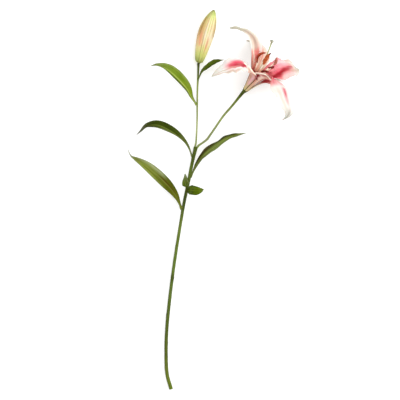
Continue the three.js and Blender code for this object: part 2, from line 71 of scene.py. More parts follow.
# Stations of a petal's midrib: distance from the axis, height along it, turn in degrees.
INNER = dict(
    width={0: 3.4, 10: 6.8, 22: 12, 32: 21, 42: 31, 53: 40, 63: 43, 75: 37, 87: 21, 95: 8.5,
           100: 1},
    cup={0: 0.6, 25: 0.6, 40: 0.3, 55: -0.25, 70: -0.45, 100: -0.3},
    ruffle=2.4, waves=4)
OUTER = dict(
    width={0: 3.8, 10: 7.8, 22: 13, 36: 21, 50: 28, 62: 32, 75: 29, 87: 18, 95: 8, 100: 1},
    cup={0: 0.65, 25: 0.6, 42: 0.1, 60: -0.4, 100: -0.4},
    ruffle=1.4, waves=3)
TEPALS = {
    "tepal_inner_1": dict(INNER, breadth=0.72, phase=0.4, twist=LEVEL, midrib=[
        (4.3, 0.6, 355), (6.2, 9, 354), (10, 23, 350), (15, 40, 346), (21.5, 56, 343),
        (30.5, 67, 341), (42, 73, 341), (55.5, 73, 343), (71, 66, 345), (85, 52, 345)]),
    "tepal_inner_2": dict(INNER, breadth=0.85, phase=2.1,
        twist={0: 0, 20: 0, 36: -35, 50: -12, 62: 5, 100: 0}, midrib=[
        (4.3, 0.6, 115), (6.2, 9, 117), (9.5, 25, 125), (14.5, 42, 132), (27, 55, 140),
        (44, 61.5, 143), (60.5, 63, 142), (74, 61.5, 141), (86, 58.5, 141), (94.5, 53.5, 142),
        (97, 44, 142), (94, 33, 142)]),
    "tepal_inner_3": dict(INNER, breadth=0.92, phase=4.0, twist=LEVEL,
        cup={0: 0.6, 25: 0.6, 40: 0.3, 60: -0.15, 100: 0.2}, midrib=[
        (4.3, 0.6, 235), (6.2, 9, 235), (9.5, 21, 236), (15.5, 33, 237), (25, 43.5, 238),
        (36, 50.5, 238), (48, 53.5, 238), (60, 53.5, 239), (71, 50.5, 240), (80.5, 46.6, 241),
        (93.3, 42.7, 241.5)]),
    "tepal_outer_1": dict(OUTER, breadth=0.95, phase=1.2, twist=LEVEL,
        cup={0: 0.65, 25: 0.7, 42: 0.1, 60: -0.7, 100: -0.5}, midrib=[
        (4.3, 0.6, 55), (6.6, 9, 57), (12, 24, 66), (19, 36, 68), (28.5, 46, 61),
        (39.5, 52.5, 55), (51, 56, 55), (63, 55.5, 55), (74, 50.5, 55), (81, 41, 55),
        (86, 31, 55), (89, 21, 55)]),
    "tepal_outer_2": dict(OUTER, breadth=0.9, phase=3.3, twist=LEVEL, midrib=[
        (4.3, 0.6, 175), (6.6, 9, 177), (12, 24, 182), (19, 35, 184), (29, 42, 184),
        (40, 45, 184), (51, 43.5, 184), (60, 38, 185), (66, 29, 186), (69, 18, 187),
        (70, 7, 187)]),
    "tepal_outer_3": dict(OUTER, breadth=1, phase=5.2, twist=LEVEL, midrib=[
        (4.3, 0.6, 295), (6.6, 9, 295), (12, 24, 296), (18.5, 35, 296), (27, 43, 295),
        (38, 47, 294), (50, 47.5, 294), (61, 46, 295), (71, 43, 297), (80.8, 36.6, 300),
        (86.5, 27.8, 306)]),
}

OVARY = dict(start=0.0, length=17.5, lobes=0.08, width={0: 2.8, 30: 4.6, 80: 4.8, 100: 2.6})
STYLE = dict(
    path=[(0, 0, 17.0), (0.8, -0.4, 26), (2.4, -1.4, 38), (5, -3.2, 54), (9, -5.8, 70),
          (13, -8.4, 82), (15.2, -9.8, 87.8)],
    width={0: 2.4, 50: 2, 93: 2.3, 100: 3.2})
STIGMA = dict(length=4, width={0: 3.2, 35: 6.6, 75: 7, 100: 3.9})
FILAMENT = dict(ring=2.75, rise=(5, 16), lean=2.5, width={0: 1.5, 20: 1.9, 80: 1.4, 100: 0.8})
ANTHER_DEPTH = 3.4
STAMENS = [
    dict(turn=355, start=(12, 0.5, 49.5), end=(11.5, -4.9, 70.1), bulge=(6, -0.5, 0.6), width=4.4),
    dict(turn=55, start=(3, 5.5, 57), end=(6, 3, 76), bulge=(1, -0.7, 0.9), width=6),
    dict(turn=115, start=(-0.5, 8, 46.5), end=(-11, 16.5, 59), bulge=(0.3, -0.6, 0.9), width=4),
    dict(turn=175, start=(-5, -2.5, 54), end=(-11.5, 7.5, 68), bulge=(-1.2, 0.3, -0.5), width=4),
    dict(turn=235, start=(-9.5, -8.5, 60.5), end=(-4.5, -29, 62.5), bulge=(-1.8, 0, 0), width=4),
    dict(turn=295, start=(7, -9.5, 51.5), end=(5.5, -15, 70.5), bulge=(1.1, 0, 0), width=4.4),
]

BUD = dict(
    foot=np.array([-23.7, 217.2, 15.2]), tip=np.array([0.6, 301.8, 12.6]), bow=1.7,
    width={0: 6.2, 1.2: 9, 3: 12.2, 12: 16.6, 30: 21.8, 48: 25.4, 66: 24.6, 82: 18.6, 93: 10.6,
           98.5: 4.6, 100: 1.6},
    ridge=1.3, inner_ridge=0.8, turn=20)

LONG_OUTLINE = {0: 0.2, 8: 0.22, 20: 0.48, 35: 0.85, 50: 1, 66: 0.9, 82: 0.55, 93: 0.2, 100: 0.03}
WISP_OUTLINE = {0: 0.2, 8: 0.26, 20: 0.62, 35: 0.96, 48: 1, 62: 0.84, 76: 0.48, 86: 0.18,
                100: 0.03}
YOUNG_OUTLINE = {0: 0.3, 15: 0.5, 40: 0.95, 55: 1, 75: 0.78, 90: 0.36, 100: 0.04}
LEAVES = {
    "leaf_lime": dict(on=BUD_PEDICEL, at=0.5, width=17.5, fold=0.5, roll={0: -10, 100: 20},
        midrib=[(-34.5, 162, 26), (-40.2, 175.5, 31), (-49.5, 188, 34), (-61.8, 200, 33),
                (-76, 209, 27), (-90, 213.2, 17), (-100.5, 213, 7)]),
    "leaf_dark": dict(on=STEM, at=0.96, width=14, fold=0.45, roll=LEVEL,
        midrib=[(-41, 84.5, 23), (-54, 99.5, 28), (-70, 111.5, 31), (-88, 119, 30),
                (-104, 117.5, 22), (-115.5, 109, 10.5), (-123.5, 103, 2.5)]),
    "leaf_olive": dict(on=STEM, at=0.742, width=19.5, fold=0.5, roll=LEVEL, outline=WISP_OUTLINE,
        midrib=[(-59, 5, 17), (-67.5, 17, 23), (-78.5, 29, 28), (-91, 41, 30), (-104, 52, 28),
                (-116, 60, 23), (-125.5, 65.5, 15.5), (-131, 69, 10), (-135, 75.5, 5.5),
                (-137.2, 82, 2.2)]),
    "leaf_right": dict(on=STEM, at=0.876, width=15, fold=0.3, roll={0: -20, 30: -40, 100: -45},
        midrib=[(-30, 49, 17.5), (-25, 58, 20.5), (-17, 68, 24), (-6, 77.5, 28), (6.7, 86.5, 30),
                (18, 94.5, 28), (30.5, 100.3, 22), (43, 104, 13), (53.5, 106.3, 5)]),
    "leaf_small": dict(on=BUD_PEDICEL, at=0.795, width=11, fold=0.4, roll={0: -20, 100: -30},
        midrib=[(-19, 200.5, 22.5), (-12.7, 207, 26), (-5.3, 213.2, 29), (4.2, 218.4, 29),
                (17, 221.5, 23)]),
    "leaf_young_right": dict(on=STEM, at=0.823, width=18, fold=0.35, roll=LEVEL,
        outline=YOUNG_OUTLINE,
        midrib=[(-36, 14.5, 26), (-29, 13.8, 36), (-22, 14.3, 40), (-15.5, 15.8, 38)]),
    "leaf_young_left": dict(on=STEM, at=0.838, width=13, fold=0.35, roll=LEVEL,
        outline=YOUNG_OUTLINE,
        midrib=[(-44, 24, 24), (-45.7, 29, 32), (-45.7, 35.5, 35), (-45, 41, 33)]),
}
FOLD_POWER = 1.25

# ---- Curves ---------------------------------------------------------------------------
UP = np.array([0.0, 0.0, 1.0])


def unit(v):
    return v / np.linalg.norm(v, axis=-1, keepdims=True)


def smooth(x, low, high):
    """0 below low, 1 above high, and a smooth step between."""
    u = np.clip((x - low) / (high - low), 0, 1)
    return u * u * (3 - 2 * u)


def hump(x, middle, width):
    """1 at the middle, falling away over about the width on both sides."""
    return np.exp(-(((x - middle) / width) ** 2))


def value_at(knots, t):
    """The values at t, 0 to 1, of a smooth line through knots {percent: value}."""
    x, v = np.array(list(knots), float) / 100, np.array(list(knots.values()), float)
    slope = np.array([(v[min(k + 1, len(x) - 1)] - v[max(k - 1, 0)])
                      / (x[min(k + 1, len(x) - 1)] - x[max(k - 1, 0)]) for k in range(len(x))])
    i = np.searchsorted(x[1:-1], t, side="left")
    span, rise = x[i + 1] - x[i], v[i + 1] - v[i]
    u = np.clip((t - x[i]) / span, 0, 1)
    bend = (1 - u) * (slope[i] * span - rise) - u * (slope[i + 1] * span - rise)
    return v[i] + u * rise + u * (1 - u) * bend


class Path:
    """A smooth curve through points, walked by its length: the CAD's centripetal curve."""

    DIVISIONS = 400

    def __init__(self, points):
        points = np.array(points, float)
        first, last = 2 * points[0] - points[1], 2 * points[-1] - points[-2]
        self.points = np.vstack([first, points, last])
        self.spans = len(points) - 1
        self.marks = np.linspace(0, 1, self.DIVISIONS + 1)
        steps = np.linalg.norm(np.diff(self.raw(self.marks), axis=0), axis=1)
        self.length = steps.sum()
        self.walked = np.r_[0, np.cumsum(steps)] / self.length

    def raw(self, u):
        u = np.clip(u, 0, 1) * self.spans
        i = np.minimum(u.astype(int), self.spans - 1)
        w = (u - i)[:, None]
        a, b, c, d = (self.points[i + k] for k in range(4))
        ab, bc, cd = (np.sqrt(np.linalg.norm(q - p, axis=1))[:, None]
                      for p, q in ((a, b), (b, c), (c, d)))
        go = ((b - a) / ab - (c - a) / (ab + bc) + (c - b) / bc) * bc
        come = ((c - b) / bc - (d - b) / (bc + cd) + (d - c) / cd) * bc
        return b + go * w + (3 * (c - b) - 2 * go - come) * w**2 + (2 * (b - c) + go + come) * w**3

    def at(self, t):
        return self.raw(np.interp(t, self.walked, self.marks))

    def along(self, t):
        u = np.interp(t, self.walked, self.marks)
        return unit(self.raw(u + 1e-4) - self.raw(u - 1e-4))


def frames(path, t, hint, roll=0.0):
    """Along a path: centres, and the directions along it, across it and out of its face."""
    along = path.along(t)
    across = unit(hint - along * np.sum(hint * along, axis=1, keepdims=True))
    face = np.cross(along, across)
    turn = np.radians(np.broadcast_to(roll, t.shape))[:, None]
    across, face = (across * np.cos(turn) + face * np.sin(turn),
                    face * np.cos(turn) - across * np.sin(turn))
    return path.at(t), along, across, face


def rooted(points, depth):
    """The points, with the first one moved back so that the piece grows out of its neighbour."""
    points = np.array(points, float)
    points[0] -= depth * unit(points[1] - points[0])
    return points


def turned(a, b, angle):
    """Directions at an angle from a towards b."""
    return a * np.cos(angle)[..., None] + b * np.sin(angle)[..., None]


# ---- Meshes ---------------------------------------------------------------------------
def add_object(name, data):
    thing = bpy.data.objects.new(name, data)
    bpy.context.scene.collection.objects.link(thing)
    return thing


def strip(a, b, c, d):
    return np.stack([a, b, c, d], -1).reshape(-1, 4)


def sheet_faces(rows, columns):
    """Faces of a closed sheet: its face side, its back, and the rim between them."""
    up, low = np.arange(2 * (rows + 1) * (columns + 1)).reshape(2, rows + 1, columns + 1)
    return np.vstack([
        strip(up[:-1, :-1], up[1:, :-1], up[1:, 1:], up[:-1, 1:]),
        strip(low[:-1, :-1], low[:-1, 1:], low[1:, 1:], low[1:, :-1]),
        strip(up[:-1, 0], low[:-1, 0], low[1:, 0], up[1:, 0]),
        strip(up[1:, -1], low[1:, -1], low[:-1, -1], up[:-1, -1]),
        strip(up[0, 1:], low[0, 1:], low[0, :-1], up[0, :-1]),
        strip(up[-1, :-1], low[-1, :-1], low[-1, 1:], up[-1, 1:]),
    ]).tolist()


def tube_faces(rows, sides):
    """Faces of a tube of rings, closed by a point at each end, which come last."""
    ring = np.arange(rows * sides).reshape(rows, sides)
    after = np.roll(ring, -1, axis=1)
    foot, top = rows * sides, rows * sides + 1
    quads = strip(ring[:-1], after[:-1], after[1:], ring[1:]).tolist()
    quads += [[foot, b, a] for a, b in zip(ring[0], after[0])]
    quads += [[top, a, b] for a, b in zip(ring[-1], after[-1])]
    return [[int(i) for i in face] for face in quads]


def piece(node, points, faces, place, material, slot):
    """Adds the piece that stands for a CAD node. place is what its material reads."""
    points = points - BOX_CENTRE
    points[:, 2] = np.maximum(points[:, 2], CLEAR)
    mesh = bpy.data.meshes.new("fine_" + node)
    mesh.from_pydata((points * MM).tolist(), [], faces)
    mesh.attributes.new("place", "FLOAT_VECTOR", "POINT")
    mesh.attributes["place"].data.foreach_set("vector", place.astype(np.float32).ravel())
    mesh.polygons.foreach_set("use_smooth", np.ones(len(faces), bool))
    mesh.materials.append(material)
    thing = add_object("fine_" + node, mesh)
    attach(thing, "root")
    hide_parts(node)


# Rows along a sheet and columns across it.
LEAF_GRID = 150, 44
PETAL_GRID = 150, 72
BUD_GRID = 130, 44


def sheet(rows, columns, skin):
    """Points, faces and places of a closed sheet. skin(T, S, side) gives its points."""
    t, s = np.linspace(0, 1, rows + 1), np.linspace(-1, 1, columns + 1)
    T, S = np.meshgrid(t, s, indexing="ij")
    points = np.concatenate([skin(T, S, side).reshape(-1, 3) for side in (1, -1)])
    place = np.concatenate([np.stack([T, S, side + 0 * T], -1).reshape(-1, 3) for side in (1, -1)])
    return points, sheet_faces(rows, columns), place


def spread(centre, across, face, x, y):
    """Points at distances x across and y out of the face of a row of frames."""
    return centre[:, None] + across[:, None] * x[..., None] + face[:, None] * y[..., None]


# A tube's end: rings from the rim inwards, as (share of the radius, mm beyond the rim).
ROUND_END = [(0.94, 0.25), (0.78, 0.55), (0.5, 0.8), (0.22, 0.9)]
CUT_END = [(0.97, 0.08), (0.9, 0.1), (0.78, -0.1), (0.45, -0.25)]
# What a place's third number says on a cut face, and on a papilla.
CUT_FACE = 2.0
PAPILLA_MARK = 2.0


def tube(path, width, rows, sides, section, foot=(), top=(), foot_mark=0.0, hint=(1, 0, 0)):
    """Points, faces and places of a tube. section(T, A, R) gives its radius and its marks."""
    t = np.linspace(0, 1, rows + 1)
    angle = np.linspace(0, 2 * math.pi, sides, endpoint=False)
    hints = np.broadcast_to(np.array(hint, float), (rows + 1, 3))
    centre, along, across, face = frames(path, t, hints)
    T, A = np.meshgrid(t, angle, indexing="ij")
    R, mark = section(T, A, value_at(width, T) / 2)

    def cap(rings, row, way):
        wheel = turned(across[row], face[row], angle)
        return [centre[row] + wheel * (R[row] * share)[:, None] + along[row] * way * push
                for share, push in rings]

    before, after = cap(foot, 0, -1)[::-1], cap(top, -1, 1)
    body = spread(centre, across, face, R * np.cos(A), R * np.sin(A))
    rings = np.stack([*before, *body, *after])
    marks = np.stack([*[foot_mark + 0 * angle] * len(before), *mark, *[0 * angle] * len(after)])
    T = np.stack([*[0 * angle] * len(before), *T, *[0 * angle + 1] * len(after)])
    A = np.broadcast_to(angle, T.shape)
    ends = [centre[0] - along[0] * (foot[-1][1] if foot else 0),
            centre[-1] + along[-1] * (top[-1][1] if top else 0)]
    points = np.vstack([rings.reshape(-1, 3), ends])
    place = np.stack([T, A / (2 * math.pi), marks], -1).reshape(-1, 3)
    place = np.vstack([place, [(0, 0, foot_mark), (1, 0, 0)]])
    return points, tube_faces(len(rings), sides), place


def joined(*parts):
    """One mesh of several: their points, faces and places."""
    points, faces, places, first = [], [], [], 0
    for some, corners, place in parts:
        faces += [[first + i for i in face] for face in corners]
        points.append(some)
        places.append(place)
        first += len(some)
    return np.vstack(points), faces, np.vstack(places)


# ---- Materials ------------------------------------------------------------------------
LIGHT = 1.3  # how much brighter than white paper the lights make a level surface
FALLING = (1, 0)  # a step that goes down from 1 to 0


def tone(colour):
    """A colour 0xRRGGBB, as it looks under these lights, turned into what a material needs.

    Three numbers are what a material needs already.
    """
    if isinstance(colour, tuple):
        return colour
    share = np.array([colour >> 16, colour >> 8 & 255, colour & 255]) / 255
    level = np.where(share <= 0.04045, share / 12.92, ((share + 0.055) / 1.055) ** 2.4)
    return tuple(float(v) / LIGHT for v in level)


class Shader:
    """Writes the nodes of one material.

    Looks are given in percent. A stop is {how far along the piece: a colour or a strength}.
    A band is (colour, its strength along the piece, how far across its middle is, its half
    width), where across runs from -100 to 100.
    """

    def __init__(self, name, roughness, specular, **more):
        self.material = bpy.data.materials.new(name)
        self.material.use_nodes = True
        self.tree = self.material.node_tree
        self.surface = self.tree.nodes["Principled BSDF"]
        self.surface.inputs["Roughness"].default_value = roughness
        self.surface.inputs["Specular IOR Level"].default_value = specular
        for socket, value in more.items():
            self.surface.inputs[socket.replace("_", " ")].default_value = value
        place = self.add("ShaderNodeAttribute")
        place.attribute_name = "place"
        parts = self.add("ShaderNodeSeparateXYZ")
        self.tree.links.new(place.outputs["Vector"], parts.inputs[0])
        self.along, self.across, self.mark = parts.outputs
        self.object = self.add("ShaderNodeTexCoord").outputs["Object"]

    def add(self, kind, **settings):
        node = self.tree.nodes.new(kind)
        for name, value in settings.items():
            setattr(node, name, value)
        return node

    def put(self, socket, value):
        if isinstance(value, bpy.types.NodeSocket):
            self.tree.links.new(value, socket)
        elif socket.type == "RGBA":
            socket.default_value = (*tone(value), 1)
        else:
            socket.default_value = value

    def math(self, operation, a, b=0, c=0, clamp=False):
        node = self.add("ShaderNodeMath", operation=operation, use_clamp=clamp)
        for socket, value in zip(node.inputs, (a, b, c)):
            self.put(socket, value)
        return node.outputs[0]

    def step(self, value, low, high, out=(0, 1)):
        """A smooth step of value from low to high."""
        node = self.add("ShaderNodeMapRange", interpolation_type="SMOOTHSTEP")
        for socket, number in zip(node.inputs[:5], (value, low, high, *out)):
            self.put(socket, number)
        return node.outputs[0]

    def ramp(self, stops):
        """Colours along the piece, through stops."""
        node = self.add("ShaderNodeValToRGB")
        node.color_ramp.interpolation = "EASE"
        elements = node.color_ramp.elements
        elements.remove(elements[1])
        elements[0].position = min(stops) / 100
        for where in sorted(stops)[1:]:
            elements.new(where / 100)
        for element, colour in zip(elements, stops.values()):
            element.color = (*tone(colour), 1)
        self.put(node.inputs[0], self.along)
        return node.outputs[0]

    def shares(self, stops):
        """Numbers from 0 to 1 along the piece, through stops."""
        return self.ramp({where: (share / 100,) * 3 for where, share in stops.items()})

    def curve(self, stops):
        """Numbers from -1 to 1 along the piece, through stops."""
        raised = {where: (share + 100) / 2 for where, share in stops.items()}
        return self.math("MULTIPLY_ADD", self.shares(raised), 2, -1)

    def mix(self, factor, a, b, blend="MIX"):
        node = self.add("ShaderNodeMix", data_type="RGBA", blend_type=blend)
        self.put(node.inputs[0], factor)
        self.put(node.inputs[6], a)
        self.put(node.inputs[7], b)
        return node.outputs[2]

    def lay(self, colour, tint, mask, strength, blend="MIX"):
        """The colour with a tint over it, as strong as the mask times the strength."""
        return self.mix(self.math("MULTIPLY", mask, strength), colour, tint, blend)

    def noise(self, scale, detail, stretch=None, offset=0):
        """Noise in space, or with stretch along and across the piece."""
        node = self.add("ShaderNodeTexNoise")
        node.inputs["Scale"].default_value = scale
        node.inputs["Detail"].default_value = detail
        if stretch:
            spot = self.add("ShaderNodeCombineXYZ")
            self.put(spot.inputs[0], self.math("MULTIPLY", self.along, stretch[0]))
            self.put(spot.inputs[1], self.math("MULTIPLY", self.across, stretch[1]))
            self.put(spot.inputs[2], offset)
            self.put(node.inputs["Vector"], spot.outputs[0])
        else:
            self.put(node.inputs["Vector"], self.object)
        return node.outputs["Fac"]

    def stripes(self, count, wander, sharp):
        """Lines along the piece, count of them from edge to edge, 1 on a line."""
        bend = self.math("SUBTRACT", self.noise(1, 1, (3, 2)), 0.5)
        value = self.math("MULTIPLY_ADD", bend, wander, self.across)
        wave = self.math("COSINE", self.math("MULTIPLY", value, math.pi * count))
        return self.math("POWER", self.math("MULTIPLY_ADD", wave, 0.5, 0.5), sharp)

    def bands(self, colour, bands, streak, feather=0.9):
        """Lays bands over the colour. Streak is a noise that feathers their edges."""
        ragged = self.math("MULTIPLY", self.math("SUBTRACT", streak, 0.5), feather)
        for tint, strength, middle, width in bands:
            middle = self.curve(middle) if isinstance(middle, dict) else middle / 100
            off = self.math("ABSOLUTE", self.math("SUBTRACT", self.across, middle))
            fade = self.step(self.math("MULTIPLY_ADD", off, 100 / width, ragged), 0.1, 1, FALLING)
            colour = self.lay(colour, tint, fade, self.shares(strength))
        return colour

    def finish(self, colour, height, depth, strength):
        """The material in this colour, with bumps as high as height times depth, in metres."""
        self.put(self.surface.inputs["Base Color"], colour)
        bump = self.add("ShaderNodeBump")
        bump.inputs["Strength"].default_value = strength
        bump.inputs["Distance"].default_value = depth
        self.put(bump.inputs["Height"], height)
        self.put(self.surface.inputs["Normal"], bump.outputs[0])
        return self.material


PETAL_SKIN = dict(Subsurface_Weight=0.25, Subsurface_Scale=0.0012,
                  Subsurface_Radius=(1.0, 0.45, 0.35))
GREEN_SKIN = dict(Subsurface_Weight=0.08, Subsurface_Scale=0.0006)
CREAM = 0xFFFCF0
WHITE = (0.82, 0.81, 0.795)
YELLOW_GREEN = 0xC4C876
PALE = 0xFCF9F1
LIP = (0.99, 0.9, 0.74)
PAPILLA = 0xB0283E

# Rolled lips, as {how far along the petal: how far across it}: where inner petal 2 folds
# outwards, and on the neck of outer petal 1.
FOLD_LINE = {24: -100, 31: -95, 34: -75, 36: -40, 38: 0, 41: 100}
NECK_LINE = {34: 90, 40: 45, 46: 10, 52: -10}

# What a petal has where PETALS gives it nothing of its own.
PLAIN_PETAL = dict(
    outside={0: 0xC0B078, 8: 0xC2A480, 20: 0xCE9686, 35: 0xD6A69A, 50: 0xE8D2C4, 75: CREAM,
             94: 0xDEDABE, 100: 0xB0B08A},
    outside_bands=[(0xA06E5C, {0: 50, 30: 60, 50: 0}, -100, 30)],
    inside_late=[], outside_late=[])


def petal_material(name, look):
    """A petal: colours along its inner and its outer face, and bands laid over them."""
    look = {**PLAIN_PETAL, **look}
    m = Shader("petal_" + name, 0.5, 0.15, **PETAL_SKIN)
    size = m.math("ABSOLUTE", m.across)
    streak = m.noise(1, 3, (2.2, 20), look["seed"])
    cloud = m.noise(1, 3, (6, 4), look["seed"] + 5)
    inside = m.bands(m.ramp(look["ground"]), look["bands"], streak)
    inside = m.lay(inside, 0xE2D4C2, m.step(cloud, 0.45, 0.75), 0.2)
    veins = m.math("MULTIPLY", m.stripes(26, 0.06, 3), m.shares({0: 60, 50: 70, 62: 25, 90: 5}))
    inside = m.lay(inside, 0xDE828C, veins, 0.26)
    inside = m.bands(inside, look["inside_late"], streak)
    freckles = m.math("MULTIPLY", m.step(m.noise(1, 1, (70, 26), 2), 0.68, 0.74),
                      m.shares({12: 0, 20: 70, 44: 60, 54: 0}))
    inside = m.lay(inside, PAPILLA, freckles, m.step(size, 0.55, 0.85, FALLING))
    outside = m.bands(m.ramp(look["outside"]), look["outside_bands"], streak)
    keel = m.step(size, 0.02, 0.16, FALLING)
    outside = m.lay(outside, 0xCECC96, keel, m.shares({0: 10, 30: 30, 55: 50, 100: 80}))
    outside = m.lay(outside, 0xCE8484, m.stripes(22, 0.08, 2), 0.2)
    outside = m.lay(outside, 0xE0B8B2, m.step(cloud, 0.4, 0.8), 0.3)
    outside = m.bands(outside, look["outside_late"], streak, 0.1)
    colour = m.mix(m.step(m.mark, -0.9, 0.9), outside, inside)
    colour = m.mix(m.math("GREATER_THAN", m.mark, 0.75 * PAPILLA_MARK), colour, PAPILLA)
    height = m.math("MULTIPLY_ADD", m.stripes(26, 0.06, 1), 0.6, streak)
    height = m.math("MULTIPLY_ADD", m.noise(900, 3), 0.5, height)
    return m.finish(colour, height, 0.00022, 0.7)


